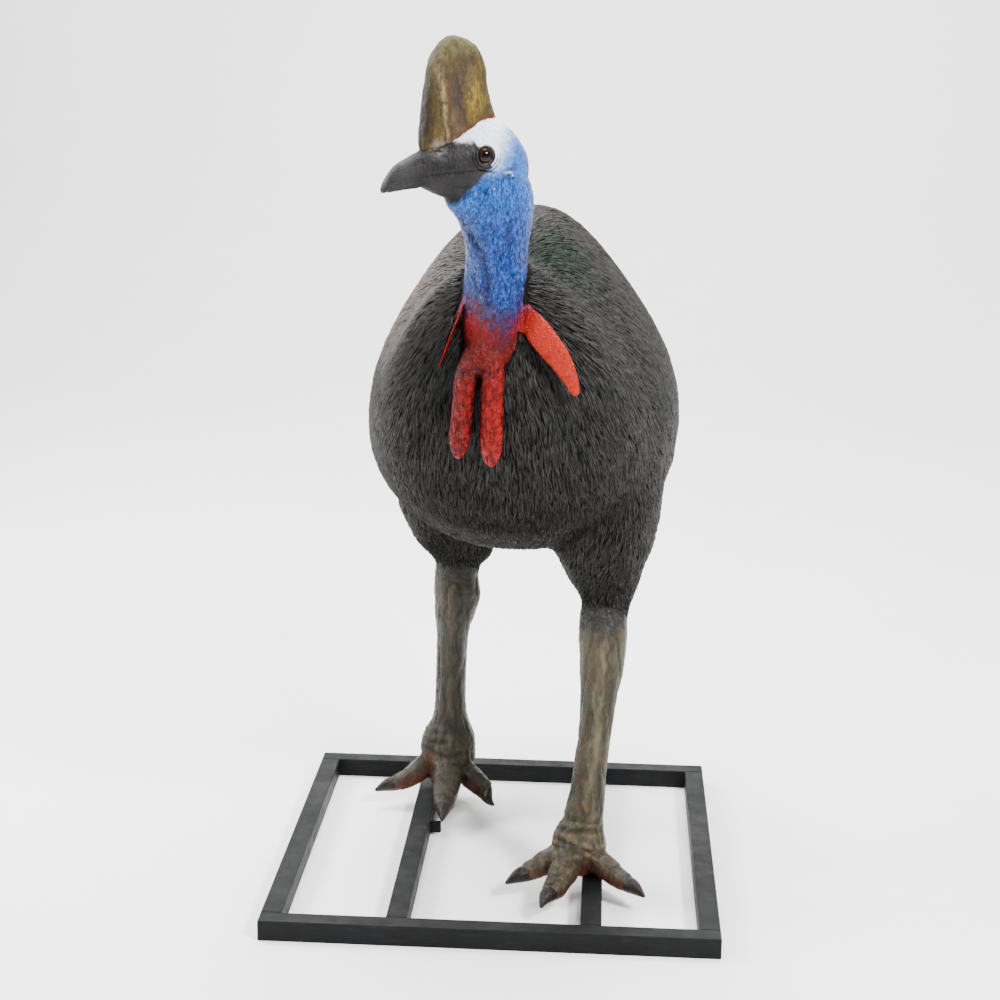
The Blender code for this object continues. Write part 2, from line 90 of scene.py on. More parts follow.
def in_body(points):
    """Points measured in the frame of the body."""
    return in_frame(points, BODY, AHEAD, LEFT)


def in_head(points):
    """Points measured in the frame of the head, whose origin lies between the eyes."""
    return in_frame(points, HEAD, HEAD_AHEAD, HEAD_LEFT)


def body_spot(ahead, left, up):
    """The place that lies so far ahead, left and up in the frame of the body."""
    return np.array(BODY + AHEAD * ahead + LEFT * left + UP * up)


# %% [markdown]
# ## Small tools
# In Blender an operator works on whatever is selected, so each step first selects one thing.  The
# helpers below do that, add ready shapes, apply a modifier at once, and copy solids.  The solids
# themselves stay as they are, since the physics needs them.

# %% Select, add, modify and copy
def alone(ob):
    """Select one object and nothing else."""
    bpy.ops.object.select_all(action="DESELECT")
    ob.select_set(True)
    bpy.context.view_layer.objects.active = ob


def ready_made(add, title, **settings):
    """Add one of Blender's ready-made objects under a name."""
    bpy.ops.object.select_all(action="DESELECT")
    add(**settings)
    ob = bpy.context.active_object
    ob.name = title
    return ob


def modify(ob, kind, **settings):
    """Add a modifier, set it and apply it."""
    alone(ob)
    modifier = ob.modifiers.new(kind.lower(), kind)
    for key, value in settings.items():
        setattr(modifier, key, value)
    bpy.ops.object.modifier_apply(modifier=modifier.name)


def soften(ob, title, chosen, rounds):
    """Smooth only the chosen vertices."""
    group = ob.vertex_groups.new(name=title)
    group.add(np.flatnonzero(chosen).tolist(), 1.0, "REPLACE")
    modify(ob, "SMOOTH", factor=0.5, iterations=rounds, vertex_group=title)
    print(title, chosen.sum(), "vertices smoothed")


def copy_solids(names, title):
    """Copy the named solids into one new object, with its loose triangles merged."""
    bpy.ops.object.select_all(action="DESELECT")
    for name in names:
        ob = bpy.data.objects.new(title, nodes[name].data.copy())
        bpy.context.collection.objects.link(ob)
        ob.select_set(True)
        bpy.context.view_layer.objects.active = ob
    if len(names) > 1:
        bpy.ops.object.join()
    ob = bpy.context.active_object
    ob.name = title
    bpy.ops.object.mode_set(mode="EDIT")
    bpy.ops.mesh.select_all(action="SELECT")
    bpy.ops.mesh.remove_doubles(threshold=0.00001)
    bpy.ops.object.mode_set(mode="OBJECT")
    ob.data.materials.clear()
    return ob


def remeshed(names, title, voxel, puff, rounds, extra=None):
    """A copy of some solids, puffed to close the gaps between them, remeshed and smoothed."""
    ob = copy_solids(names, title)
    modify(ob, "DISPLACE", strength=puff, mid_level=0.0)
    if extra:
        alone(ob)
        extra.select_set(True)
        bpy.ops.object.join()
    modify(ob, "REMESH", mode="VOXEL", voxel_size=voxel, use_smooth_shade=True)
    modify(ob, "SMOOTH", factor=0.5, iterations=rounds)
    print(title, len(ob.data.polygons), "faces")
    return ob


# %% Read and write many vertices at once
def read(ob, what="co"):
    """Every vertex's place or normal."""
    out = np.empty(len(ob.data.vertices) * 3)
    ob.data.vertices.foreach_get(what, out)
    return out.reshape(-1, 3)


def write(ob, points):
    """Set every vertex's place."""
    ob.data.vertices.foreach_set("co", points.ravel())
    ob.data.update()


def keep(ob, **masks):
    """Store numbers on the vertices, each row under its name, for a material to read."""
    for name, values in masks.items():
        layer = ob.data.attributes.new(name, "FLOAT", "POINT")
        layer.data.foreach_set("value", np.asarray(values, float))


def wear(ob, *mats):
    """Give an object its materials and smooth shading."""
    for mat in mats:
        ob.data.materials.append(mat)
    ob.data.shade_smooth()


# %% Smooth steps, bells and noise
def bell(value, middle, width):
    """1 at the middle, fading to 0 about a width away."""
    return np.exp(-((value - middle) / width) ** 2)


def step(value, low, high):
    """0 below low, 1 above high, smooth between them."""
    share = np.clip((value - low) / (high - low), 0, 1)
    return share * share * (3 - 2 * share)


def unit(v):
    """Vectors scaled to length 1."""
    return v / np.maximum(np.linalg.norm(v, axis=1, keepdims=True), 1e-9)


def far_from(points, place):
    """How far each point is from a place measured from the middle of the stand."""
    return np.linalg.norm(points - np.array(STAND) - place, axis=1)


def bumps(points, scale, stretch=(1.0, 1.0, 1.0)):
    """Smooth noise from -1 to 1, with bumps about scale metres wide, stretched along the axes."""
    grid = points / (scale * np.array(stretch))
    return np.array([noise.noise(p) for p in grid.tolist()])


def wandering(points, by):
    """Points shifted by broad noise, so that a pattern laid over them wanders."""
    return points + np.stack([bumps(points + shift, 0.03) for shift in (0, 3, 7)], 1) * by


# %% Creases, cells, bands and drawn lines
def creases(points, scale, stretch, width):
    """1 along wandering lines about scale apart, and 0 between them."""
    return bell(bumps(points, scale, stretch), 0.0, width)


def cells(points, size, stretch):
    """How far each point is from the crack between cells of about that size, from 0 to 1."""
    grid = points / (size * np.array(stretch))
    near = [noise.voronoi(p)[0] for p in grid.tolist()]
    return np.array([min((n[1] - n[0]) * 2.2, 1.0) for n in near])


def bands(along, gap, width):
    """1 on lines that come back at every gap, fading over a share of the gap."""
    return bell(np.abs(np.mod(along, gap) / gap - 0.5), 0.5, width)


def near_line(across, up, line, width, offset=0.0):
    """1 along a drawn line of (across, up) pairs, or at an offset from it, fading over a width."""
    spots = np.stack([across, up], 1)
    nearest = np.full(len(spots), 9.0)
    for start, end in zip(line[:-1], line[1:]):
        way = np.subtract(end, start)
        share = np.clip((spots - start) @ way / (way @ way), 0, 1)
        nearest = np.minimum(nearest, np.linalg.norm(spots - start - share[:, None] * way, axis=1))
    return bell(nearest, offset, width)


# %% [markdown]
# ## Camera, floor and light
# The camera stands where the photographer did, a little above the bird's head, and looks down on
# the stand.  A pale floor and a few large soft lights, the strongest at the upper left, stand in
# for a studio.

# %% Camera
camera = ready_made(bpy.ops.object.camera_add, "Camera",
                    location=STAND + Vector((0.18872, -3.71739, 1.67562)),
                    rotation=[math.radians(a) for a in (76.184, -0.87, 3.334)])
camera.data.lens = 69.15
camera.data.sensor_width = 36.0
bpy.context.scene.camera = camera

# %% Floor that sweeps up into a backdrop
# Its back edge is drawn out strip by strip, each one steeper, and the last one is the tall wall.
FLOOR_BACK = 5.0
STRIPS, STRIP, WALL = 12, 0.35, 8.0
floor = ready_made(bpy.ops.mesh.primitive_plane_add, "floor", size=24, location=(0, 0, 0))
for vertex in floor.data.vertices:
    vertex.co.y = min(vertex.co.y, FLOOR_BACK)
bpy.ops.object.mode_set(mode="EDIT")
for strip in range(STRIPS):
    floor_mesh = bmesh.from_edit_mesh(floor.data)
    back = max(v.co.y for v in floor_mesh.verts)
    for edge in floor_mesh.edges:
        edge.select_set(all(v.co.y > back - 0.001 for v in edge.verts))
    bmesh.update_edit_mesh(floor.data)
    slope = math.radians(4 + 7.5 * strip)
    tall = STRIP if strip < STRIPS - 1 else WALL
    bpy.ops.mesh.extrude_edges_move(
        TRANSFORM_OT_translate={"value": (0.0, STRIP * math.cos(slope), tall * math.sin(slope))})
bpy.ops.object.mode_set(mode="OBJECT")
floor.data.shade_smooth()
print("floor:", len(floor.data.polygons), "faces")

# %% Lights, each with its place, its width and its power in watts
LIGHTS = (("key", (2.5, -2.5, 3.4), 0.8, 350), ("rim", (-3.2, 0.9, 2.8), 1.4, 190),
          ("side", (-3.2, -0.9, 2.2), 1.0, 90), ("top", (0.0, 0.2, 4.4), 2.5, 280),
          ("sweep", (0.0, 3.0, 7.0), 5.0, 1150))
for name, place, size, power in LIGHTS:
    light = ready_made(bpy.ops.object.light_add, name, type="AREA", location=place)
    light.data.size = size
    light.data.energy = power
    aim = Vector((0, 7.5, 2.0)) if name == "sweep" else Vector((0, -0.1, 0.9))
    light.rotation_euler = (aim - Vector(place)).to_track_quat("-Z", "Y").to_euler()
world = bpy.data.worlds.new("studio")
world.use_nodes = True
world.node_tree.nodes["Background"].inputs["Strength"].default_value = 0.55
world.node_tree.nodes["Background"].inputs["Color"].default_value = (1, 1, 1, 1)
bpy.context.scene.world = world
print("lights:", [light[0] for light in LIGHTS])

# %% [markdown]
# ## One skin
# On the statue the flesh is one cast surface: the bare head and neck, the wattles, the feathered
# trunk and the scaled legs.  Copies of the solids are puffed by half a millimetre so that they
# touch, remeshed into even small faces and smoothed.  The trunk gets coarse faces, as a coat
# covers it, and lies lower by the coat's depth.  The three regions are then joined by a Boolean.

# %% Name the solids of each region
# INSET makes the eyes and the tabs of the stand a touch smaller than their solids.
INSET = 0.98
SIDES = ("left", "right")
TOES = ("inner", "middle", "outer")
TRUNK = ["torso", "rump", "thigh_left", "thigh_right"]
THROAT = ["head", "neck", "wattle_left", "wattle_right", "lappet_left", "lappet_right"]
BILL = ["bill_upper", "bill_lower"]
EYES = ["eye_left", "eye_right"]
LEGS = [f"{part}_{side}" for side in SIDES for part in ("shank", "foot")]
LEGS += [f"toe_{side}_{toe}" for side in SIDES for toe in TOES]
CLAWS = [f"claw_{side}_{toe}" for side in SIDES for toe in TOES]

# %% Remesh the regions and join them
COAT = 0.0035
WEB_AHEAD, WEB_LEFT, WEB_UP = 0.413, -0.025, 1.104
skin = remeshed(TRUNK + ["neck", "shank_left", "shank_right"], "skin", 0.01, 0.0006, 14)
modify(skin, "DISPLACE", strength=-COAT, mid_level=0.0)
modify(skin, "DECIMATE", ratio=0.26)
web = ready_made(bpy.ops.mesh.primitive_uv_sphere_add, "web", segments=32, ring_count=20, radius=1)
places = read(web) * np.array((0.036, 0.022, 0.034))
write(web, places @ np.array((LEFT, AHEAD, UP)) + body_spot(WEB_AHEAD, WEB_LEFT, WEB_UP))
upper = remeshed(THROAT + BILL + EYES, "upper", 0.0026, 0.0006, 6, web)
lower = remeshed(LEGS + CLAWS, "lower", 0.0035, 0.0006, 5)
for region in (upper, lower):
    modify(skin, "BOOLEAN", operation="UNION", solver="MANIFOLD", object=region)
    bpy.data.objects.remove(region)
print("skin:", len(skin.data.polygons), "faces")

# %% Find which solid each vertex of the skin belongs to
region_points, region_faces, region_names = [], [], []
for name in TRUNK + THROAT + BILL + LEGS:
    start = len(region_points)
    mesh = nodes[name].data
    region_points += [v.co.copy() for v in mesh.vertices]
    region_faces += [[start + i for i in p.vertices] for p in mesh.polygons]
    region_names += [name] * len(mesh.polygons)
solids_tree = BVHTree.FromPolygons(region_points, region_faces)


def regions(points):
    """The name of the nearest solid for each point, and how far away it is."""
    found = [solids_tree.find_nearest(p) for p in points.tolist()]
    return np.array([region_names[f[2]] for f in found]), np.array([f[3] for f in found])


def named(zones, start):
    """Which of the names start so."""
    return np.char.startswith(zones, start)


# %% Split the faces round the eyes finer
EYE_RISE, EYE_SIZE = 0.008, 0.0155
alone(skin)
ahead, left, rise = in_head(np.array([p.center for p in skin.data.polygons]))
bpy.ops.object.mode_set(mode="EDIT")
bpy.ops.mesh.select_mode(type="FACE")
bpy.ops.mesh.select_all(action="DESELECT")
bpy.ops.object.mode_set(mode="OBJECT")
near_eye = (np.hypot(ahead, rise - EYE_RISE) < 0.03) & (np.abs(left) > 0.025)
skin.data.polygons.foreach_set("select", near_eye)
bpy.ops.object.mode_set(mode="EDIT")
bpy.ops.mesh.subdivide(number_cuts=1, smoothness=0)
bpy.ops.mesh.vertices_smooth(factor=0.5, repeat=2)
bpy.ops.object.mode_set(mode="OBJECT")
skin.data.calc_loop_triangles()
print("skin:", len(skin.data.loop_triangles), "triangles")

# %% [markdown]
# ## The hems, the web and the thin lappet
# The thighs narrow smoothly into the legs, so the skin is smoothed where they meet, and a web of
# skin joins the two wattles.  The lappet on the bird's right is a thin flap that the viewer sees
# edge on, so it is pressed thinner.

# %% Sort the vertices into trunk, legs and bare skin
HEM = {"left": 0.538, "right": 0.548}


def over_hem(places):
    """How far each place lies above the hem of the thigh on its side."""
    return places[:, 2] - np.where(places[:, 0] > MID_LEGS, HEM["left"], HEM["right"])


points = read(skin)
zone, depth = regions(points)
neck_ahead, neck_left, height = in_body(points)
stray = ~np.isin(zone, TRUNK + BILL + ["head"]) & (depth > 0.0022)
on_web = ((neck_ahead - WEB_AHEAD) / 0.036) ** 2 + ((neck_left - WEB_LEFT) / 0.054) ** 2 < 1
on_web &= np.abs(height - WEB_UP) < 0.04
zone = np.where(stray & (height > 0.9) & ~on_web, "torso", zone)
under_hem = -over_hem(points)
zone = np.where(named(zone, "thigh") & (under_hem > 0.012), np.char.replace(zone, "thigh", "shank"), zone)
side_of = np.where(points[:, 0] > MID_LEGS, "left", "right")
is_trunk = np.isin(zone, TRUNK)
is_leg = np.isin(zone, LEGS)
is_bare = ~is_trunk & ~is_leg
lappet = named(zone, "lappet")
hanging = named(zone, "wattle") | lappet
print("vertices: trunk", is_trunk.sum(), "leg", is_leg.sum(), "bare", is_bare.sum())

# %% Smooth the hems, the throat, the roots of the lappets and the dewlap
head_ahead, head_left, head_rise = in_head(points)
on_root = np.zeros(len(points), bool)
for way in (-1, 1):
    on_root |= is_bare & (np.linalg.norm(points - body_spot(0.385, 0.045 * way, 1.185), axis=1) < 0.026)
on_dewlap = is_bare & ~lappet & (np.abs(height - 1.118) < 0.022) & (neck_ahead > 0.385)
on_dewlap &= np.abs(neck_left - WEB_LEFT) < 0.05
soften(skin, "hem", (np.abs(under_hem - 0.01) < 0.055) & (is_leg | named(zone, "thigh")), 30)
soften(skin, "throat", is_bare & (np.hypot(head_ahead - 0.05, head_rise + 0.085) < 0.042), 40)
soften(skin, "roots", on_root, 14)
soften(skin, "dewlap", on_dewlap, 40)

# %% Press the thin lappet, hang the other lower and point the wattles
points = read(skin)
flap = np.flatnonzero(zone == "lappet_right")
middle = points[flap].mean(0)
thin_way = np.linalg.svd(points[flap] - middle, full_matrices=False)[2][2]
from_root = np.linalg.norm(points[flap] - body_spot(0.38, -0.05, 1.2), axis=1)
share = step(from_root, 0.01, 0.04)
away = (points[flap] - middle) @ thin_way
points[flap] -= (away * 0.62 * share)[:, None] * thin_way
points[flap] += share[:, None] * np.array((0.004, 0.0, -0.013))
flap = np.flatnonzero(zone == "lappet_left")
from_root = np.linalg.norm(points[flap] - body_spot(0.38, 0.05, 1.2), axis=1)
points[flap] += step(from_root, 0.0, 0.045)[:, None] * np.array((0.006, 0.0, -0.005))
for side in SIDES:
    lobe = np.flatnonzero(zone == "wattle_" + side)
    above_tip = points[lobe, 2] - points[lobe, 2].min()
    middle = points[lobe[above_tip < 0.04]].mean(0)
    pinch = 0.32 * (1 - step(above_tip, 0.0, 0.034))
    points[lobe, :2] -= (points[lobe, :2] - middle[:2]) * pinch[:, None]

# %% Touch up the form, as a sculptor moves clay with a thumb
# Each touch has its place from the middle of the stand, its width and how far it moves the clay,
# all in millimetres.
TOUCHES = (
    ((235, 50, 1170), 160, (-7, 0, -5)), ((-250, -20, 1100), 150, (-3, 0, 2)),
    ((315, -40, 845), 45, (8, 0, 0)), ((305, -80, 740), 60, (-8, 0, 0)),
    ((250, -40, 610), 50, (8, 0, 0)), ((122, -56, 625), 35, (5, 0, 0)),
    ((135, -50, 555), 30, (-5, 0, 0)), ((240, -22, 525), 50, (4, 0, 0)),
    ((-235, 200, 690), 50, (-12, 0, 0)), ((-180, 260, 585), 40, (-7, 0, -2)),
    ((-66, 286, 575), 34, (18, 0, -6)), ((-78, 280, 470), 34, (10, 0, 0)),
    ((185, -60, 440), 70, (4, 0, 0)), ((-235, -170, 800), 60, (3, 0, 0)),
    ((330, 20, 905), 60, (-3, 0, 0)), ((-240, -140, 1020), 120, (-4, 0, 0)),
    ((150, 40, 1300), 75, (-6, 0, -6)), ((-21, -366, 1508), 26, (2, -1, 6)),
    ((-60, 190, 85), 26, (9, 0, 2)), ((-35, 171, 47), 32, (-11, 0, -2)),
    ((129, -270, 60), 26, (6, 0, -2)), ((85, -300, 40), 24, (0, 0, 6)), ((-70, 190, 60), 40, (11, 0, 4)),
    ((-195, 235, 135), 26, (-8, 0, 9)), ((235, -200, 75), 34, (0, 0, -6)),
    ((80, 100, 1340), 80, (0, 0, 6)), ((-58, 193, 75), 30, (7, 0, 2)), ((100, -311, 45), 20, (-3, 0, 0)),
    ((-195, 232, 112), 20, (-6, 0, 4)), ((-95, -405, 1385), 22, (0, -3, -6)),
    ((-106, -391, 1370), 22, (-5, -3, -2)))


def touched(points):
    """Points moved by all the touches that reach them."""
    moved = points.copy()
    for place, size, move in TOUCHES:
        reach = bell(far_from(points, np.array(place) / 1000), 0.0, size / 1000)
        moved += reach[:, None] * (np.array(move) / 1000)
    return moved


points = touched(points)
write(skin, points)
print("touches:", len(TOUCHES))

# %% [markdown]
# ## Relief of the bare skin
# The sculptor carved folds into the clay: creases down the neck, pebbled red skin below it,
# cracked wattles, lids round the eyes, the line of the bill, and ridges down the legs.  Each is a
# small push along the surface's normal, worked out from where a vertex lies.  The array lift
# holds the fine relief, which the paint reads too, to paint raised places lighter as a painted
# highlight.  The array form holds broad swellings, which it does not read, and a third array holds
# the creases, which are painted dark as painted shade.

# %% Creases of the neck, pebbles below it and cracks of the wattles
THROAT_LINE = ((-0.06, 1.35), (-0.041, 1.316), (-0.027, 1.296), (-0.019, 1.271), (-0.016, 1.243),
               (-0.014, 1.205))
normals = read(skin, "normal")
head_ahead, head_left, head_rise = in_head(points)
neck_ahead, neck_left, height = in_body(points)
lift, form, crease = np.zeros((3, len(points)))
bare = np.flatnonzero(is_bare)
spots = points[bare]
warp = wandering(spots, 0.006)
long_fold = creases(warp, 0.026, (1, 1, 6.0), 0.045)
short_fold = creases(warp, 0.0085, (1, 1, 2.2), 0.13)
in_front = neck_ahead[bare]
throat_fold = near_line(neck_left[bare], height[bare], THROAT_LINE, 0.0055) * (in_front > 0.4)
grain = bumps(spots, 0.005, (1, 1, 1.6))
on_face = step(head_ahead[bare] + 1.03 * head_rise[bare], -0.06, -0.015)
on_face = on_face * step(head_rise[bare], -0.11, -0.09)
low_neck = 1 - step(height[bare], 1.15, 1.24)
cracks = (1 - cells(warp, 0.015, (0.9, 0.9, 1.25))) ** 5
on_wattle = named(zone[bare], "wattle") * (1 - step(height[bare], 1.078, 1.096))
on_lappet = lappet[bare]
cracked = cracks * (on_wattle + 0.2 * on_lappet)
wattle_top = bell(height[bare] + 0.009 * bumps(spots, 0.025), 1.087, 0.0035) * (in_front > 0.39)
wattle_top = wattle_top * (np.abs(neck_left[bare] - WEB_LEFT) < 0.048) * ~on_lappet
on_neck = (1 - on_face) * (1 - on_wattle) * (1 - on_lappet)
crown_calm = 1 - 0.75 * step(head_rise[bare], -0.06, 0.0)
neck_push = -0.0009 * long_fold - 0.0008 * short_fold + 0.0007 * grain - 0.0034 * throat_fold
neck_push = neck_push * on_neck * crown_calm * (1 - 0.5 * low_neck)
neck_push += 0.001 * bumps(warp, 0.0065, (1.0, 1.0, 1.3)) * low_neck * on_neck
wattle_push = -0.0024 * cracked + 0.0005 * grain * (on_wattle + 0.2 * on_lappet) - 0.0022 * wattle_top
lift[bare] += neck_push + wattle_push + 0.0003 * grain * on_face
neck_lines = (0.45 * long_fold + 0.3 * short_fold) * (1 - 0.6 * low_neck) + 0.6 * throat_fold
# The creases and the cracks of the wattles are painted dark from this, as painted shade.
crease[bare] = np.clip(neck_lines * on_neck + cracked + 0.5 * wattle_top, 0, 1)
print("bare skin lifted from", round(lift.min() * 1000, 2), "to", round(lift.max() * 1000, 2), "mm")

# %% Lids, socket, line of the bill and ear
# Each pair of rows given to np.interp is a drawn line: places along the head and heights there.
eye_far = np.hypot(head_ahead, (head_rise - EYE_RISE) * 0.96)
on_side = step(np.abs(head_left), 0.015, 0.028) * is_bare * ~hanging * (head_rise > -0.12)
below = step(EYE_RISE - head_rise, -0.006, 0.008)
upper_lid = 0.0018 * bell(eye_far, 0.0182, 0.0022)
upper_lid = upper_lid - 0.0015 * bell(eye_far, 0.0212, 0.0013) * (0.3 + 0.7 * below)
lower_lids = (0.0014 * bell(eye_far, 0.0236, 0.0016) - 0.0016 * bell(eye_far, 0.0264, 0.0015)
              + 0.0012 * bell(eye_far, 0.0294, 0.0018)) * below
socket = 0.006 * (1 - step(eye_far, 0.013, 0.0158))
gape = np.interp(head_ahead, (-0.03, -0.01, 0.01, 0.063, 0.113, 0.2),
                 (-0.024, -0.02, -0.017, -0.021, -0.027, -0.05))
gape_line = bell(head_rise, gape, 0.0017) * step(head_ahead, -0.028, -0.012) * on_side
ear_hole = (1 - step(np.hypot(head_ahead + 0.056, head_rise + 0.033), 0.0012, 0.0034)) * on_side
ear_line = np.interp(head_ahead, (-0.056, -0.05, -0.046, -0.041, -0.034),
                     (-0.028, -0.0215, -0.0205, -0.0225, -0.0215))
ear_rim = bell(head_rise, ear_line, 0.0012) * on_side * step(head_ahead, -0.057, -0.053)
ear_rim = ear_rim * (1 - step(head_ahead, -0.037, -0.033))
bill_root = bell(head_ahead, 0.1, 0.026) * step(normals[:, 2], 0.0, 0.7) * is_bare * (head_rise > -0.06)
lift += (upper_lid + lower_lids - socket) * on_side
lift += 0.0016 * ear_rim - 0.0022 * gape_line - 0.003 * ear_hole
form += 0.003 * bill_root
lid_lines = (bell(eye_far, 0.0212, 0.0011) + bell(eye_far, 0.0264, 0.0012) * 0.7) * below * on_side
print("eye ring", int((lid_lines > 0.5).sum()), "vertices")

# %% Measure each leg round its own line, and each toe along its own
legs = np.flatnonzero(is_leg)
spots = points[legs]
leg_side = side_of[legs]
round_leg, along_toe = np.zeros((2, len(legs)))
for side in SIDES:
    shank = points[zone == "shank_" + side]
    mine = leg_side == side
    off_x, off_y = (spots[:, k] - np.polyval(np.polyfit(shank[:, 2], shank[:, k], 1), spots[:, 2])
                    for k in (0, 1))
    turn = np.arctan2(off_x * LEFT.x + off_y * LEFT.y, off_x * AHEAD.x + off_y * AHEAD.y)
    round_leg[mine] = turn[mine]
    hub = sum(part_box("foot_" + side), Vector()) / 2
    for toe in TOES:
        way = sum(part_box(f"claw_{side}_{toe}"), Vector()) / 2 - hub
        way.z = 0
        way.normalize()
        mine = zone[legs] == f"toe_{side}_{toe}"
        along_toe[mine] = ((spots - np.array(hub)) @ np.array(way))[mine]
is_toe = named(zone[legs], "toe")
print("leg vertices", len(legs), "on toes", is_toe.sum())

# %% Ridges, scutes and wrinkles of the legs
SCUTE, RING = 0.0105, 0.0125
z = spots[:, 2]
warp = wandering(spots, 0.007)
long_fold = creases(warp, 0.022, (1, 1, 9), 0.1)
rind = bumps(spots, 0.0075, (1, 1, 1.4))
bark = creases(warp, 0.011, (1, 1, 2.4), 0.09)
on_foot = 1 - step(z, 0.13, 0.19)
on_shank = (1 - on_foot) * (1 - step(z, 0.46, 0.52))
shin = bell(round_leg, 0.15, 0.3)
scute = bands(z + 0.003 * bumps(spots, 0.02), SCUTE, 0.16)
scute = scute * bell(round_leg, -0.95, 0.5) * step(z, 0.17, 0.2) * (1 - step(z, 0.38, 0.43))
toe_ring = bands(along_toe + 0.004 * bumps(spots, 0.016), RING, 0.15)
toe_ring = toe_ring * is_toe * step(bumps(spots + 9, 0.02), -0.25, 0.15)
pucker = bumps(warp, 0.0085, (1.4, 1.4, 0.8)) * bell(z, 0.115, 0.035) * (np.abs(round_leg) > 0.6)

# %% Folds that cross the front of each foot, drawn as lines, with a roll of skin above each
FOLDS = (((0.1, 0.118), (0.112, 0.123), (0.15, 0.131), (0.192, 0.128), (0.206, 0.124)),
         ((0.14, 0.104), (0.159, 0.097), (0.183, 0.091), (0.212, 0.094)),
         ((0.09, 0.112), (0.108, 0.11), (0.126, 0.104)), ((0.088, 0.097), (0.106, 0.098), (0.122, 0.091)),
         ((-0.236, 0.162), (-0.216, 0.152), (-0.196, 0.15), (-0.178, 0.156)),
         ((-0.242, 0.143), (-0.218, 0.134), (-0.197, 0.128), (-0.176, 0.125), (-0.152, 0.13)),
         ((-0.232, 0.174), (-0.212, 0.168), (-0.198, 0.171)))
across = spots @ np.array(LEFT) - np.array(BODY) @ np.array(LEFT)
leg_front = step(normals[legs] @ np.array(AHEAD), -0.1, 0.3)
wave = z + 0.004 * bumps(spots, 0.018)
knuckle = np.max([near_line(across, wave, fold, 0.0036) for fold in FOLDS], 0) * leg_front
roll = np.max([near_line(across, wave, fold, 0.0042, 0.0085) for fold in FOLDS], 0) * leg_front
leg_push = (-0.002 * long_fold * (1 - 0.5 * on_foot) - 0.0005 * bark + 0.0007 * rind
            + 0.0034 * shin * on_shank - 0.0014 * scute - 0.0009 * toe_ring - 0.0024 * knuckle
            + 0.0009 * roll + 0.0018 * pucker)
lift[legs] += leg_push
# The folds and scutes of the legs are painted dark from this, as painted shade.
crease[legs] = np.clip(0.45 * long_fold + 0.12 * bark + 0.6 * scute + 0.15 * toe_ring + 0.5 * knuckle, 0, 1)
print("legs lifted from", round(leg_push.min() * 1000, 2), "to", round(leg_push.max() * 1000, 2), "mm")

# %% Swell the shanks and a few spots of the legs
PUFFS = (((-0.075, 0.215, 0.092), 0.03, 0.004), ((-0.132, 0.19, 0.078), 0.024, -0.0028),
         ((0.195, -0.06, 0.49), 0.055, 0.0042), ((0.128, -0.155, 0.125), 0.035, 0.0045),
         ((0.165, -0.225, 0.055), 0.022, 0.005))
form[legs] = np.where(leg_side == "right", 0.0062, 0.003) * (1 - on_foot) * (1 - step(z, 0.42, 0.47))
for place, size, puff in PUFFS:
    form[legs] += puff * bell(far_from(spots, place), 0.0, size)

# %% Push the vertices and keep what the paint needs
write(skin, points + normals * (lift + form)[:, None])
# The paint reads this to paint raised places lighter, as a painted highlight.
relief = lift / 0.0012
relief[legs] += 0.1 - 0.8 * on_shank
keep(skin, relief=np.clip(relief, -1, 1), crease=crease)
points = read(skin)
normals = read(skin, "normal")

# %% Find the hollows, which are painted darker as painted shade
open_tree = BVHTree.FromPolygons(points.tolist(), [list(p.vertices) for p in skin.data.polygons])


def sheltered(points, normals, reach, rays=12):
    """The share of the open side of each point that something near blocks, from 0 to 1."""
    aside = unit(np.cross(normals, (0.3, 0.5, 0.8)))
    other = np.cross(normals, aside)
    starts = (points + normals * 0.0015).tolist()
    blocked = np.zeros(len(points))
    for k in range(rays):
        rise = 0.2 + 0.75 * (k + 0.5) / rays
        flat = math.sqrt(1 - rise * rise)
        ways = normals * rise + aside * (flat * math.cos(2.4 * k)) + other * (flat * math.sin(2.4 * k))
        blocked += [open_tree.ray_cast(p, d, reach)[0] is not None for p, d in zip(starts, ways.tolist())]
    return blocked / rays


wash = np.zeros(len(points))
wash[~is_trunk] = sheltered(points[~is_trunk], normals[~is_trunk], 0.045)
keep(skin, wash=step(wash, 0.08, 0.62))
print("hollows take a dark wash:", int((wash > 0.4).sum()), "vertices")

# %% [markdown]
# ## Where each colour of paint goes
# The painter worked with soft edges: a charcoal face, a white crown, blue over the neck and red
# from its foot down.  Each colour gets a mask on the vertices, and the materials break up the
# edges of the masks with noise.

# %% Find the ends of the toes, which are painted as dark as the claws
claw_points = [nodes[name].matrix_world @ v.co for name in CLAWS for v in nodes[name].data.vertices]
claw_tree = KDTree(len(claw_points))
for index, spot in enumerate(claw_points):
    claw_tree.insert(spot, index)
claw_tree.balance()
to_claw = np.ones(len(points))
low_ones = np.flatnonzero(height < 0.13)
to_claw[low_ones] = [claw_tree.find(p)[2] for p in points[low_ones].tolist()]

# %% Draw the edges of the colours on the head
ragged = bumps(points, 0.012) * 0.5 + bumps(points, 0.005) * 0.5
face_low = head_rise - np.interp(head_ahead, (-0.024, -0.009, 0.004, 0.015, 0.03, 0.05),
                                 (0.002, -0.015, -0.03, -0.048, -0.063, -0.078)) + ragged * 0.01
face_back = head_ahead + 0.02 + ragged * 0.005
face_top = np.interp(head_ahead, (-0.03, -0.012, 0.0, 0.02, 0.043, 0.056, 0.07),
                     (-0.022, -0.012, 0.01, 0.033, 0.032, 0.036, 0.06)) - head_rise + ragged * 0.007
wisp = bumps(points @ np.array(((1, 0, 0), (0, 1, 0), (0.8, 0.8, 1))), 0.006, (1, 1, 3))
brow = bell(head_ahead, 0.082, 0.011) * bell(head_rise, 0.018, 0.013) * step(wisp, -0.25, 0.45)
black = step(face_low, -0.009, 0.009) * step(face_back, -0.006, 0.006) * step(face_top, -0.006, 0.008)
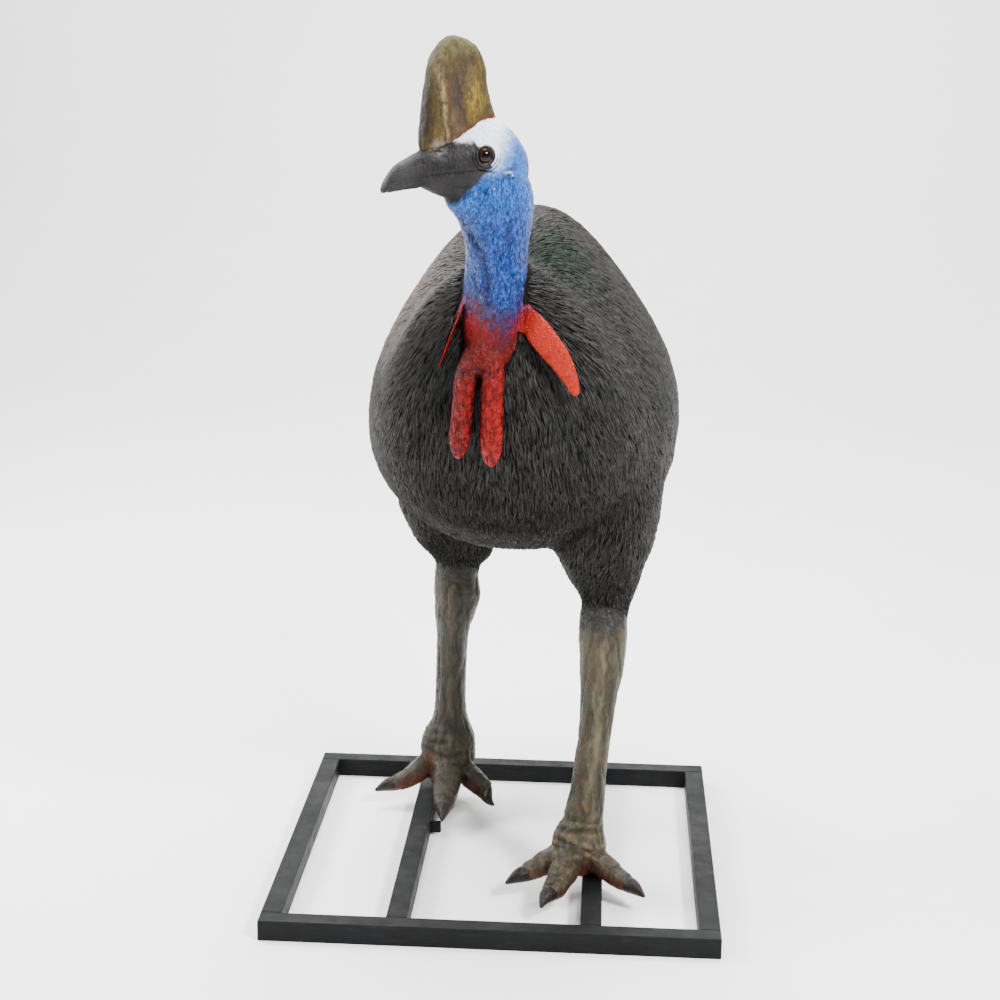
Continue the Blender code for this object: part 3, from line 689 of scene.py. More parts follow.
black = np.maximum(black, 1 - step(eye_far, 0.016, 0.0172)) * (head_rise > -0.125)
# The crown is painted white, and so is the rim of the ear, as a painted highlight.
white = step(head_ahead + 0.37 * head_rise + ragged * 0.014, -0.056, -0.004) * step(head_rise, -0.034, 0.002)

# %% Draw where the blue turns red, and keep all the masks
red_top = np.interp(neck_left, (-0.06, -0.03, 0.0, 0.02, 0.035, 0.05),
                    (1.222, 1.216, 1.194, 1.186, 1.202, 1.236))
red = 1 - step(height - red_top + ragged * 0.03, -0.066, 0.03)
to_root = np.hypot(np.hypot(neck_ahead - 0.38, np.abs(neck_left) - 0.05), height - 1.2)
red = np.maximum(red, hanging * np.where(lappet, step(to_root, 0.004, 0.032), 1))
# The dewlap and the bird's right wattle are painted a darker red, as painted shade.
deep = bell(height, 1.12, 0.042) * (neck_ahead > 0.39) * ~lappet + 0.5 * (zone == "wattle_right")
# The leg on the bird's right is painted darker all over, as painted shade.
keep(skin, face_mask=black, crown_mask=np.maximum(white, ear_rim), red_mask=red, brow_mask=brow,
     line_mask=np.clip(gape_line + lid_lines + ear_hole, 0, 1), pale_mask=step(height, 1.3, 1.46),
     plum_mask=4 * red * (1 - red) * ~hanging, deep_mask=np.clip(deep, 0, 1),
     flap_mask=(zone == "lappet_left") * step(to_root, 0.02, 0.06),
     soot_mask=1 - step(under_hem + ragged * 0.03, 0.005, 0.045), dim_mask=is_leg & (side_of == "right"),
     claw_mask=1 - step(to_claw + ragged * 0.004, 0.0035, 0.0075),
     sole_mask=step(-normals[:, 2], -0.45, 0.3) * (height < 0.13))
print("red skin:", int((red > 0.5).sum()), "vertices")

# %% [markdown]
# ## Paint
# All the finishes are painted resin, horn-like paint or painted steel.  Each is a Principled
# shader with colour from a few noises and masks, a slight bump and a roughness that varies.
# Sizes of noise are in millimetres of the real thing.

# %% Colour and node helpers
def linear(hex_colour):
    """An sRGB hex colour as linear RGBA."""
    rgb = [int(hex_colour[i:i + 2], 16) / 255 for i in (1, 3, 5)]
    return [c / 12.92 if c <= 0.04045 else ((c + 0.055) / 1.055) ** 2.4 for c in rgb] + [1.0]


def add_node(mat, kind, settings, sockets, out=0):
    """Add a node, set its settings, and fill its sockets with values or other sockets."""
    node = mat.node_tree.nodes.new("ShaderNode" + kind)
    for key, value in settings.items():
        setattr(node, key, value)
    for key, value in sockets.items():
        if isinstance(value, bpy.types.NodeSocket):
            mat.node_tree.links.new(value, node.inputs[key])
        else:
            node.inputs[key].default_value = linear(value) if isinstance(value, str) else value
    return node.outputs[out]


# %% A can of paint: one material and the nodes it may use
class Paint:
    """One Principled material, mixed from noises and masks in the object's own coordinates."""

    def __init__(self, name):
        self.mat = bpy.data.materials.new(name)
        self.mat.use_nodes = True
        self.place = add_node(self.mat, "TexCoord", {}, {}, "Object")

    def mask(self, name):
        """A number kept on the mesh."""
        return add_node(self.mat, "Attribute", {"attribute_name": name}, {}, "Fac")

    def spread(self, value, low, high):
        """A value spread so that low to high becomes 0 to 1."""
        return add_node(self.mat, "MapRange", {}, {"Value": value, "From Min": low, "From Max": high})

    def between(self, share, low, high):
        """A share turned into a value between low and high."""
        return add_node(self.mat, "MapRange", {}, {"Value": share, "To Min": low, "To Max": high})

    def maths(self, operation, a, b):
        """One sum of two values, kept between 0 and 1."""
        return add_node(self.mat, "Math", {"operation": operation, "use_clamp": True}, {0: a, 1: b})

    def times(self, a, b):
        """One value times another."""
        return self.maths("MULTIPLY", a, b)

    def raw_noise(self, millimetres, stretch, detail, rough):
        """Noise with features of that size, stretched along the axes."""
        scaled = add_node(self.mat, "Mapping", {}, {"Vector": self.place, "Scale": [1 / s for s in stretch]})
        return add_node(self.mat, "TexNoise", {}, {"Vector": scaled, "Scale": 1000 / millimetres,
                                                   "Detail": detail, "Roughness": rough})

    def noise(self, millimetres, low, high, stretch=(1, 1, 1), detail=4.0):
        """Noise with features of that size, spread so that low to high becomes 0 to 1."""
        return self.spread(self.raw_noise(millimetres, stretch, detail, 0.6), low, high)

    def crepe(self, millimetres, width, stretch):
        """1 along the thin wandering lines where a noise crosses its middle, like fine wrinkles."""
        value = self.raw_noise(millimetres, stretch, 2.0, 0.5)
        off = add_node(self.mat, "Math", {"operation": "SUBTRACT"}, {0: value, 1: 0.5})
        off = add_node(self.mat, "Math", {"operation": "ABSOLUTE"}, {0: off})
        return self.between(self.spread(off, 0.0, width), 1.0, 0.0)

    def mix(self, share, a, b):
        """Two colours mixed by a share."""
        return add_node(self.mat, "Mix", {"data_type": "RGBA"}, {0: share, 6: a, 7: b}, 2)

    def coats(self, colour, *coats):
        """Coats of paint over a colour: a share or a mask's name, a strength and a colour each."""
        for share, strength, paint in coats:
            share = self.mask(share) if isinstance(share, str) else share
            colour = self.mix(self.times(share, strength), colour, paint)
        return colour

    def finish(self, colour, rough, height, distance, specular=0.5):
        """Set what the shader needs, and give back the material."""
        bump = add_node(self.mat, "Bump", {}, {"Height": height, "Distance": distance, "Strength": 1.0})
        shader = self.mat.node_tree.nodes["Principled BSDF"]
        values = {"Base Color": colour, "Roughness": rough, "Normal": bump, "Specular IOR Level": specular}
        for name, value in values.items():
            if isinstance(value, bpy.types.NodeSocket):
                self.mat.node_tree.links.new(value, shader.inputs[name])
            else:
                shader.inputs[name].default_value = value
        return self.mat


# %% Colours of the bare head, neck and wattles
# Satin acrylic, brushed by hand over the cast resin in thin streaky layers.  The creases, fine
# wrinkles and hollows are painted dark as painted shade, raised places lighter as a painted
# highlight, and small pale specks are painted glints.
flesh = Paint("satin_blue_and_red_paint_on_resin")
relief = flesh.spread(flesh.mask("relief"), -0.5, 0.9)
streak = flesh.noise(9, 0.35, 0.68, (1, 1, 3.5))
speck = flesh.noise(2.6, 0.42, 0.6, (1, 1, 1.8), 2)
fine = flesh.noise(4.2, 0.5, 0.62, (1, 1, 2.0), 1)
glint = flesh.noise(2.6, 0.56, 0.76, (1, 1, 2.2), 2)
crepe = flesh.times(flesh.crepe(9, 0.048, (1, 1, 1.7)), flesh.between(flesh.mask("pale_mask"), 1.0, 0.35))
broad = flesh.noise(50, 0.38, 0.62)
white_paint = flesh.mix(speck, "#dce6f6", "#f6f8fc")
# Over the blue, raised places get a painted highlight, creases a painted shade, specks painted glints.
blue = flesh.coats(flesh.mix(streak, "#002b78", "#003f9e"), ("pale_mask", 0.7, "#2a7ddb"),
                   (broad, 0.35, "#00266e"), (relief, flesh.between(speck, 0.0, 0.6), "#4a94f0"),
                   ("crease", 0.9, "#020f34"), (crepe, 0.66, "#00143f"), (glint, 0.22, "#86b8f5"),
                   ("crown_mask", flesh.between(streak, 0.85, 1.0), white_paint))
# Over the red, the dewlap and one wattle get painted shade, raised places a painted highlight.
scarlet = flesh.coats(flesh.mix(streak, "#660201", "#8e0602"), ("flap_mask", 0.55, "#b82c18"),
                      ("deep_mask", 0.85, "#340101"), (relief, flesh.between(speck, 0.0, 0.3), "#c82a16"),
                      ("crease", 0.85, "#1e0101"))
# Raised places of the black face are painted lighter, as a painted highlight.
soot = flesh.coats(flesh.mix(streak, "#0c0c0e", "#1b1a1c"), (broad, 0.4, "#302d2b"),
                   (relief, flesh.between(speck, 0.0, 0.35), "#38332f"))

# %% Join the colours of the flesh, where red spots scatter up into the blue
spotty = flesh.maths("ADD", flesh.times(speck, 0.6), flesh.times(fine, 0.4))
red_spots = add_node(flesh.mat, "Math", {"operation": "MULTIPLY_ADD", "use_clamp": True},
                     {0: spotty, 1: 0.75, 2: flesh.between(flesh.mask("red_mask"), -0.75, 1.0)})
# The gape, the lid folds and the ear hole are drawn dark, and the hollows darkened, as painted shade.
colour = flesh.coats(flesh.mix(red_spots, blue, scarlet), ("plum_mask", 0.6, "#280c20"),
                     ("face_mask", 1.0, soot), ("brow_mask", 0.5, "#9a928c"), ("line_mask", 0.9, "#020202"),
                     ("wash", 0.55, "#0d0408"))
face = flesh.mask("face_mask")
calm = flesh.maths("MAXIMUM", face, flesh.times(red_spots, 0.8))
calm = flesh.maths("MAXIMUM", calm, flesh.times(flesh.mask("crown_mask"), 0.9))
pimple = flesh.noise(5, 0.38, 0.64, (1, 1, 1.6), 2)
grain = flesh.maths("ADD", flesh.times(pimple, 0.55), flesh.between(crepe, 0.45, 0.0))
grain = flesh.times(grain, flesh.between(calm, 1.0, 0.2))
sheen = flesh.maths("ADD", flesh.between(streak, 0.15, 0.26), flesh.between(face, 0.0, 0.26))
shine = flesh.times(flesh.between(red_spots, 0.38, 0.18), flesh.between(face, 1.0, 0.45))
flesh_paint = flesh.finish(colour, sheen, grain, 0.007, shine)

# %% Paint of the legs
# Matt olive and umber acrylic, sponged on over carved scutes.  It is dull, rusty between the toes
# and nearly black at the claws.  Raised places are painted paler as a painted highlight, and the
# creases, the hollows and the whole leg on the bird's right darker as painted shade.
scales = Paint("mottled_olive_paint_on_resin")
relief = scales.spread(scales.mask("relief"), -0.6, 0.9)
streak = scales.noise(11, 0.38, 0.64, (1, 1, 5))
speck = scales.noise(3.0, 0.4, 0.62, (1, 1, 1.5), 2)
colour = scales.coats(scales.mix(streak, "#17140e", "#2b2519"),
                      (scales.noise(24, 0.4, 0.62, (1, 1, 9), 2), 0.65, "#444029"),
                      (scales.noise(45, 0.42, 0.62), 0.55, "#252918"),
                      (scales.noise(22, 0.5, 0.68, (1, 1, 1.5)), 0.6, "#4d2a07"),
                      (relief, scales.between(streak, 0.05, 0.7), "#625b47"), ("crease", 0.8, "#0d0906"),
                      ("dim_mask", 0.42, "#0f0e0b"), ("sole_mask", 0.75, "#4e2112"),
                      ("wash", 1.0, "#0a0604"), ("claw_mask", 0.9, "#100a08"),
                      ("soot_mask", 0.85, "#232322"))
scales_paint = scales.finish(colour, scales.between(streak, 0.28, 0.46), speck, 0.0007, 0.25)

# %% Paint under the feathers
# Flat black priming on resin, which fills the grooves between the strands and hardly shines.
primer = Paint("charcoal_paint_on_resin")
shade = primer.noise(12, 0.35, 0.65)
undercoat = primer.finish(primer.mix(shade, "#080808", "#111111"), primer.between(shade, 0.6, 0.75),
                          shade, 0.001, 0.05)

# %% Paint on the feathers
# Charcoal acrylic over the carving, mossy beside the neck, with a faint broken shine.  The ridges
# are painted grey and the grooves black as painted highlight and painted shade, one shoulder pale
# as painted light, and the strands that face down darker as painted shade.
coat = Paint("dry_brushed_charcoal_paint_on_resin")
ridge, tone = coat.mask("ridge"), coat.mask("tone")
worn = coat.times(coat.times(coat.mask("worn_mask"), ridge), coat.between(tone, 0.0, 1.1))
wisp = coat.noise(5, 0.35, 0.65)
colour = coat.coats(coat.mix(ridge, "#040404", "#141414"), (tone, ridge, "#4b4846"), (worn, 1.0, "#786b63"),
                    (coat.noise(160, 0.52, 0.7), 0.35, "#18241d"), ("moss_mask", 0.55, "#16281d"),
                    ("under", 0.58, "#060606"), (coat.noise(110, 0.5, 0.68), 0.22, "#28211d"))
plumage = coat.finish(colour, coat.between(wisp, 0.46, 0.6), wisp, 0.0005,
                      coat.between(coat.mask("under"), 0.24, 0.05))

# %% Give the skin its paints
skin.data.materials.clear()
slot_of = np.where(is_trunk, 0, np.where(is_leg, 2, 1))
face_slots = np.array([slot_of[list(p.vertices)].min() for p in skin.data.polygons])
wear(skin, undercoat, flesh_paint, scales_paint)
skin.data.polygons.foreach_set("material_index", face_slots.astype(np.int32))
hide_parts(*TRUNK, *THROAT, *LEGS)
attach(skin, "root")

# %% [markdown]
# ## The carved plumage
# A cassowary's feathers hang like coarse hair, and on the statue they are carved as thousands of
# thin ridges that lie close and overlap.  Each strand here is a slim closed spindle of eight
# vertices.  Its root is sunk in the skin, it follows the lie of the plumage over the surface, and
# its tip lies on the strands beyond.  All strands are worked out together as arrays of numbers and
# become a few joined meshes.

# %% Read the skin as triangles
skin.data.calc_loop_triangles()
corners = np.empty(len(skin.data.loop_triangles) * 3, np.int32)
slots = np.empty(len(skin.data.loop_triangles), np.int32)
skin.data.loop_triangles.foreach_get("vertices", corners)
skin.data.loop_triangles.foreach_get("material_index", slots)
corners = corners.reshape(-1, 3)
points = read(skin)
normals = read(skin, "normal")
skin_tree = BVHTree.FromPolygons(points.tolist(), corners.tolist())


def area_of(trios):
    """The area of each triangle."""
    a, b, c = (points[trios[:, i]] for i in range(3))
    return np.linalg.norm(np.cross(b - a, c - a), axis=1) / 2


coat_corners = corners[slots == 0]
print("feathered skin:", round(area_of(coat_corners).sum(), 3), "square metres")


# %% Follow the surface
def settle(places):
    """The nearest places on the skin and the smooth normals there."""
    found = [skin_tree.find_nearest(p) for p in places.tolist()]
    smooth = unit(normals[corners[[f[2] for f in found]]].mean(1))
    return np.array([f[0] for f in found]), smooth


def lie(places, up, turn):
    """The way the plumage lies: down and back over the surface, turned a little at random."""
    ahead, left, height = in_body(places)
    pull = np.tile(np.array(UP) * -0.8 - np.array(AHEAD) * 0.6, (len(places), 1))
    belly = 1 - step(height, 0.62, 0.95)
    pull += np.array(LEFT) * (-1.6 * left * belly * (ahead > 0.1))[:, None]
    from_neck = places - body_spot(0.36, 0.0, 1.16)
    pull += unit(from_neck) * (1.1 * bell(np.linalg.norm(from_neck, axis=1), 0.0, 0.12))[:, None]
    along = unit(pull - up * (pull * up).sum(1)[:, None])
    return along * np.cos(turn)[:, None] + np.cross(up, along) * np.sin(turn)[:, None]


# %% Turn arrays of strands into a mesh
SPINDLE = np.array(((0, 3, 1), (0, 1, 2), (0, 2, 3), (1, 3, 6), (1, 6, 4), (3, 2, 5), (3, 5, 6),
                    (2, 1, 4), (2, 4, 5), (4, 6, 7), (6, 5, 7), (5, 4, 7)))
# Each strand's vertices take this share of the painted highlight: the top ones most.
RIDGE = np.array((0.0, 0.0, 0.0, 0.9, 0.0, 0.0, 1.0, 0.8))
UV_PATCH = np.array(((0, 0), (0, 1), (1, 1), (.5, 1), (0, 2), (1, 2), (.5, 2), (.5, 3))) * 0.001


def joined_strands(title, verts, root, up, tone):
    """One mesh of all the strands, with its attributes and its bake map."""
    count = len(verts)
    faces = (SPINDLE[None] + 8 * np.arange(count)[:, None, None]).reshape(-1, 3)
    mesh = bpy.data.meshes.new(title)
    mesh.vertices.add(count * 8)
    mesh.vertices.foreach_set("co", verts.ravel())
    mesh.loops.add(len(faces) * 3)
    mesh.loops.foreach_set("vertex_index", faces.ravel().astype(np.int32))
    mesh.polygons.add(len(faces))
    mesh.polygons.foreach_set("loop_start", np.arange(0, len(faces) * 3, 3, dtype=np.int32))
    mesh.update(calc_edges=True)
    ob = bpy.data.objects.new(title, mesh)
    bpy.context.collection.objects.link(ob)
    # Strands that face down are painted darker, as painted shade; on the thighs only the steeper ones.
    shade_from = 0.4 if "thigh" in title else 0.05
    # One shoulder is painted paler, as painted light.
    shoulder = 1 - step(far_from(root, (-0.17, -0.1, 1.18)), 0.05, 0.19)
    beside_neck = 1 - step(far_from(root, (0.085, -0.16, 1.27)), 0.03, 0.15)
    keep(ob, ridge=np.tile(RIDGE, count), tone=np.repeat(tone, 8), worn_mask=np.repeat(shoulder, 8),
         under=np.repeat(step(-up[:, 2], shade_from, 1.0), 8), moss_mask=np.repeat(beside_neck, 8))
    way = unit(root - root.mean(0) + np.array(AHEAD) * 0.05)
    flat = np.stack([np.arctan2(way @ np.array(LEFT), way @ np.array(AHEAD)), np.arcsin(way[:, 2])], 1)
    flat = (flat - flat.min(0)) / (flat.max(0) - flat.min(0)) * 0.994 + 0.0015
    layer = mesh.uv_layers.new(name="OFBake")
    layer.data.foreach_set("uv", (flat[:, None] + UV_PATCH[None]).reshape(-1, 2)[faces.ravel()].ravel())
    wear(ob, plumage)
    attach(ob, "root")
    print(title, count, "strands", len(faces), "triangles")


# %% Shape the strands of one piece of the coat
def grow(title, trios, per_metre, long, wide, seed):
    """Strands rooted at random over some triangles of the skin."""
    rng = np.random.default_rng(seed)
    area = area_of(trios)
    count = int(area.sum() * per_metre)
    chosen = trios[rng.choice(len(trios), count, p=area / area.sum())]
    u, v = rng.random(count), rng.random(count)
    flip = u + v > 1
    u, v = np.where(flip, 1 - u, u), np.where(flip, 1 - v, v)
    weights = np.stack([1 - u - v, u, v], 1)[:, :, None]
    root = (points[chosen] * weights).sum(1)
    up = unit((normals[chosen] * weights).sum(1))
    turn = bumps(root, 0.09) * 0.3 + bumps(root + 5.0, 0.03) * 0.22 + rng.normal(0, 0.07, count)
    full = 0.3 + 0.7 * step(over_hem(root), -0.01, 0.09)
    length = long * rng.uniform(0.65, 1.25, count) * (0.4 + 0.6 * full)
    stout = rng.random(count) ** 2
    width = wide * (0.7 + 0.5 * stout) * (0.6 + 0.4 * full)
    depth = -0.0014 + 0.0027 * stout
    places, ups, alongs = [root], [up], [lie(root, up, turn)]
    for share in (0.28, 0.4, 0.32):
        spot, above = settle(places[-1] + alongs[-1] * (length * share)[:, None])
        places.append(spot)
        ups.append(above)
        alongs.append(lie(spot, above, turn))
    verts = np.empty((count, 8, 3))
    verts[:, 0] = root - up * 0.0012
    for first, k, rise, share in ((1, 1, 0.0012, 1.0), (4, 2, 0.0023, 0.72)):
        across = np.cross(alongs[k], ups[k]) * (width * share / 2)[:, None]
        middle = places[k] + ups[k] * ((rise + depth) * full)[:, None]
        verts[:, first] = middle - across - ups[k] * 0.0008
        verts[:, first + 1] = middle + across - ups[k] * 0.0008
        verts[:, first + 2] = middle + ups[k] * (0.0014 * full)[:, None]
    verts[:, 7] = places[3] + ups[3] * ((0.0026 + depth) * full - 0.0008 * (1 - full))[:, None]
    # Stouter strands stand higher and take a lighter tone, partly at random and partly as a painted
    # highlight.
    joined_strands(title, verts, root, up, 0.5 * stout + 0.5 * rng.random(count) ** 2)


# %% Grow the coat piece by piece
# Each piece has its region, its share of the full density, the strands' length and width and a
# seed.  Last come short strands that thin out below the hems of the thighs.
density = 50000
ahead, left, height = in_body(points[coat_corners].mean(1))
coat_zone = np.array([next((n for n in trio if n in TRUNK), "torso") for trio in zone[coat_corners]])
for side, on_it in (("left", left >= 0), ("right", left < 0)):
    torso = (coat_zone == "torso") & on_it
    flank = torso & (ahead <= 0.14)
    for part, chosen, share, long, wide, seed in (
            ("breast", torso & (ahead > 0.14), 1.15, 0.03, 0.003, 11),
            ("flank", flank & (height < 1.0), 1, 0.034, 0.0035, 12),
            ("back", flank & (height >= 1.0), 1, 0.035, 0.0037, 15),
            ("rump", (coat_zone == "rump") & on_it, 1, 0.04, 0.0038, 13),
            ("thigh", coat_zone == "thigh_" + side, 1.15, 0.024, 0.0028, 14)):
        grow(f"plumage_{part}_{side}", coat_corners[chosen], density * share, long, wide, seed)
leg_corners = corners[is_leg[corners].all(1)]
middle = points[leg_corners].mean(1)
near_hem = over_hem(middle) > -0.02
for side, on_it in (("left", middle[:, 0] > MID_LEGS), ("right", middle[:, 0] <= MID_LEGS)):
    grow("plumage_hem_" + side, leg_corners[on_it & near_hem], density * 0.4, 0.015, 0.0025, 16)

# %% [markdown]
# ## Casque
# The horn on the crown is a tall blunt wedge with a hollow in each side and a soft ridge in front
# of the hollow.  It is remeshed from its solid and pressed in by code, and painted in olive and
# ochre streaks.  Its leading edge and grooves are painted dark as painted shade, and its ridge
# pale as a painted highlight.

# %% Measure the casque
casque = remeshed(["casque"], "casque_shell", 0.002, 0.0005, 10)
soften(casque, "top", read(casque)[:, 2] > HEAD.z + 0.18, 60)
points = read(casque)
normals = read(casque, "normal")
ahead, left, rise = in_head(points)
side_on = step(np.abs(left), 0.005, 0.013)


def blob(middle_ahead, middle_rise, long, tall):
    """1 in the middle of an upright oval on the side of the casque, fading to 0 round it."""
    return bell(ahead, middle_ahead, long) * bell(rise, middle_rise, tall) * side_on


# %% Shape the casque
hollow, lower_hollow, upper_hollow = (blob(*oval) for oval in (
    (0.047, 0.108, 0.0125, 0.04), (0.038, 0.058, 0.012, 0.018), (0.028, 0.155, 0.024, 0.016)))
bulge = blob(0.018, 0.104, 0.016, 0.03)
crest_at = np.interp(rise, (0.03, 0.076, 0.117, 0.15, 0.19), (0.064, 0.07, 0.074, 0.078, 0.068))
crest = bell(ahead, crest_at, 0.0052) * step(rise, 0.025, 0.055) * (1 - step(rise, 0.15, 0.19)) * side_on
back_edge = 1 - step(ahead, -0.008, 0.012)
grain = bumps(points, 0.004, (1, 1, 5)) * 0.00035 + bumps(points, 0.011, (1, 1, 2.2)) * 0.001
lines = creases(points, 0.009, (1, 1, 4), 0.1)
push = (-0.0066 * hollow + 0.0034 * crest + 0.0026 * bulge - 0.0018 * lower_hollow - 0.002 * upper_hollow
        + 0.003 * bell(rise, 0.15, 0.022) * back_edge + 0.0016 * step(ahead, 0.03, 0.08)
        + grain - 0.0006 * lines + 0.0015 * step(rise, 0.13, 0.18))
points = points + normals * push[:, None]
points[:, 2] -= 0.0045 * bell(ahead, 0.018, 0.016) * bell(rise, 0.206, 0.02)
write(casque, points)
print("casque pushed from", round(push.min() * 1000, 2), "to", round(push.max() * 1000, 2), "mm")

# %% Masks of the casque's paint
foot = np.interp(ahead, (-0.05, -0.028, 0.003, 0.022, 0.047, 0.09),
                 (0.076, 0.071, 0.064, 0.051, 0.036, 0.018))
above_foot = rise - foot + bumps(points, 0.01) * 0.0035
hollow_paint = (1.3 + 0.25 * bumps(points, 0.012)) * hollow + 0.5 * lower_hollow + 0.45 * upper_hollow
# The leading edge is painted dark, as painted shade.
keep(casque, hollow_mask=np.clip(hollow_paint, 0, 1), crest_mask=crest, crease=lines,
     moss_mask=step(rise, 0.15, 0.2) * step(bumps(points, 0.022), -0.3, 0.3),
     bulge_mask=np.clip(bulge * 1.2, 0, 1),
     edge_mask=step(ahead, 0.082, 0.098) * step(rise, 0.02, 0.05) * (1 - 0.6 * step(rise, 0.17, 0.2)),
     foot_mask=bell(above_foot, 0.002, 0.0022) * (1 - step(ahead, 0.05, 0.07)),
     crown_mask=(1 - step(above_foot, -0.0015, 0.0005)) * (1 - step(ahead, 0.03, 0.05)),
     fade_mask=(1 - step(rise + bumps(points, 0.008) * 0.006, 0.024, 0.046)) * step(ahead, 0.035, 0.055)
     * (1 - step(ahead, 0.085, 0.095)))
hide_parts("casque")

# %% Paint the casque
# Ochre and umber acrylic glazes, streaked up over resin to look like worn horn, and dull satin.
# The ridge is painted pale as a painted highlight; the leading edge and grooves are painted dark
# as painted shade.
horn = Paint("streaked_horn_paint_on_resin")
streak = horn.noise(8, 0.38, 0.62, (1, 1, 2.6), 6)
speck = horn.noise(2.5, 0.4, 0.62, (1, 1, 2.5), 2)
blotch = horn.noise(11, 0.5, 0.64, (1, 1, 1.4), 5)
colour = horn.coats(horn.mix(streak, "#33290f", "#64511c"),
                    (horn.noise(26, 0.4, 0.62, (1, 1, 2)), 0.6, "#3a2d12"), ("moss_mask", 0.5, "#5c6030"),
                    ("bulge_mask", horn.between(streak, 0.45, 0.95), "#836c20"),
                    ("hollow_mask", 0.95, "#382628"),
                    # The ridge is painted pale, as a painted highlight.
                    ("crest_mask", horn.between(streak, 0.2, 1.0), "#8f7859"),
                    ("edge_mask", 0.95, "#120e07"), ("crease", 0.5, "#2a1b0c"), (speck, 0.35, "#2c210f"),
                    (blotch, 0.55, "#2b2213"), ("fade_mask", horn.between(streak, 0.0, 0.8), "#7c7068"),
                    ("crown_mask", 1.0, "#eef2fa"), ("foot_mask", 0.85, "#4c0e08"))
rough_horn = horn.maths("ADD", horn.times(speck, 0.4), horn.times(blotch, 0.6))
wear(casque, horn.finish(colour, horn.between(streak, 0.45, 0.62), rough_horn, 0.0012, 0.22))
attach(casque, "root")

# %% [markdown]
# ## Bill
# The bill is a hard sheath over the jaws.  Each half is remeshed finely, so that its edges, its
# hooked tip and the slit of the nostril stay sharp, and it fits closely over the skin's jaws.

# %% Paint of the bill
# Satin black enamel, brushed on resin: wide soft highlights, duller where the bill meets the face.
# The upper faces are painted a paler teal as a painted sheen, the slit and parting darker as
# painted shade.
horny = Paint("satin_black_bill_paint_on_resin")
streak = horny.noise(12, 0.36, 0.66)
speck = horny.noise(2.2, 0.42, 0.62, (1, 1, 1), 2)
colour = horny.coats(horny.mix(streak, "#08080a", "#141315"), (speck, 0.2, "#33322f"),
                     ("slit", 0.9, "#060606"), ("sheen", 0.25, "#2c403d"), ("root", 0.7, "#0b0b0c"))
bill_paint = horny.finish(colour, horny.between(streak, 0.38, 0.5), speck, 0.0004,
                          horny.between(horny.mask("root"), 0.34, 0.17))

# %% Make the two halves of the bill
for name, other in zip(BILL, BILL[::-1]):
    half = remeshed([name], name + "_sheath", 0.0011, 0.001, 5)
    points = read(half)
    normals = read(half, "normal")
    ahead, left, rise = in_head(points)
    off_middle = step(np.abs(left), 0.004, 0.009)
    slit = bell(ahead, 0.124, 0.008) * bell(rise, -0.01 - (ahead - 0.124) * 0.45, 0.0016) * off_middle
    ledge = bell(rise, 0.002 - (ahead - 0.11) * 0.75, 0.003) * off_middle
    facing_tree = BVHTree.FromPolygons([v.co.copy() for v in nodes[other].data.vertices],
                                       [list(p.vertices) for p in nodes[other].data.polygons])
    parting = bell(np.array([facing_tree.find_nearest(p)[3] for p in points.tolist()]), 0.0, 0.0022)
    parting = parting * step(np.abs(left), 0.002, 0.005)
    near_tip = step(ahead, 0.15, 0.176)
    back = 1 - step(ahead, 0.098, 0.116)
    push = (-0.0016 * slit - 0.0012 * parting + 0.0005 * ledge + 0.00012 * bumps(points, 0.003)
            + 0.0003 * bumps(points, 0.01) + 0.0032 * near_tip - 0.0012 * back)
    points = points + normals * push[:, None] - np.array(HEAD_AHEAD) * (0.0046 * near_tip)[:, None]
    thick = step(ahead, 0.085, 0.115) * (1 - step(ahead, 0.146, 0.172))
    facing_up = step(normals[:, 2], 0.0, 0.8) - 0.65 * step(-normals[:, 2], 0.0, 0.8)
    points[:, 2] += 0.0042 * thick * facing_up
    write(half, points)
    # The slit and the parting get painted shade, the upper faces a painted sheen.
    keep(half, slit=np.clip(slit + 0.8 * parting, 0, 1), sheen=step(normals[:, 2], 0.6, 0.98),
         root=1 - step(ahead + bumps(points, 0.012) * 0.006, 0.1, 0.14))
    wear(half, bill_paint)
    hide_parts(name)
    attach(half, "root")

# %% [markdown]
# ## Eyes
# Each eye is a glossy ball: a wide black pupil, a brown iris and a dark edge, in a round lid.  The
# colours are rings of faces about the ball's outer pole, so their edges stay round and crisp.

# %% Paints of the eyes
# Black and brown paint under gloss varnish, like a glass eye, with a small sharp highlight.  The
# lid is satin black.
PUPIL_EDGE, IRIS_EDGE = 30, 62


def dusty(name, millimetres, colours, rough, distance, specular):
    """A plain paint with a little dust in its colour and shine."""
    paint = Paint(name)
    dust = paint.noise(millimetres, 0.4, 0.6)
    return paint.finish(paint.mix(dust, *colours), paint.between(dust, *rough), dust, distance, specular)


pupil = dusty("gloss_black_eye_paint", 1.5, ("#020202", "#060505"), (0.05, 0.09), 0.00002, 0.2)
lid_paint = dusty("satin_black_lid_paint", 3, ("#0f0e0e", "#221c1a"), (0.3, 0.42), 0.0004, 0.5)
brown = Paint("gloss_brown_eye_paint")
rays = brown.noise(0.8, 0.35, 0.65)
outward = brown.spread(brown.mask("from_pole"), PUPIL_EDGE, IRIS_EDGE)
colour = brown.coats(brown.mix(outward, "#120806", "#3e2315"), (rays, 0.5, "#1c0d07"))
iris = brown.finish(colour, brown.between(rays, 0.05, 0.1), rays, 0.00003, 0.2)

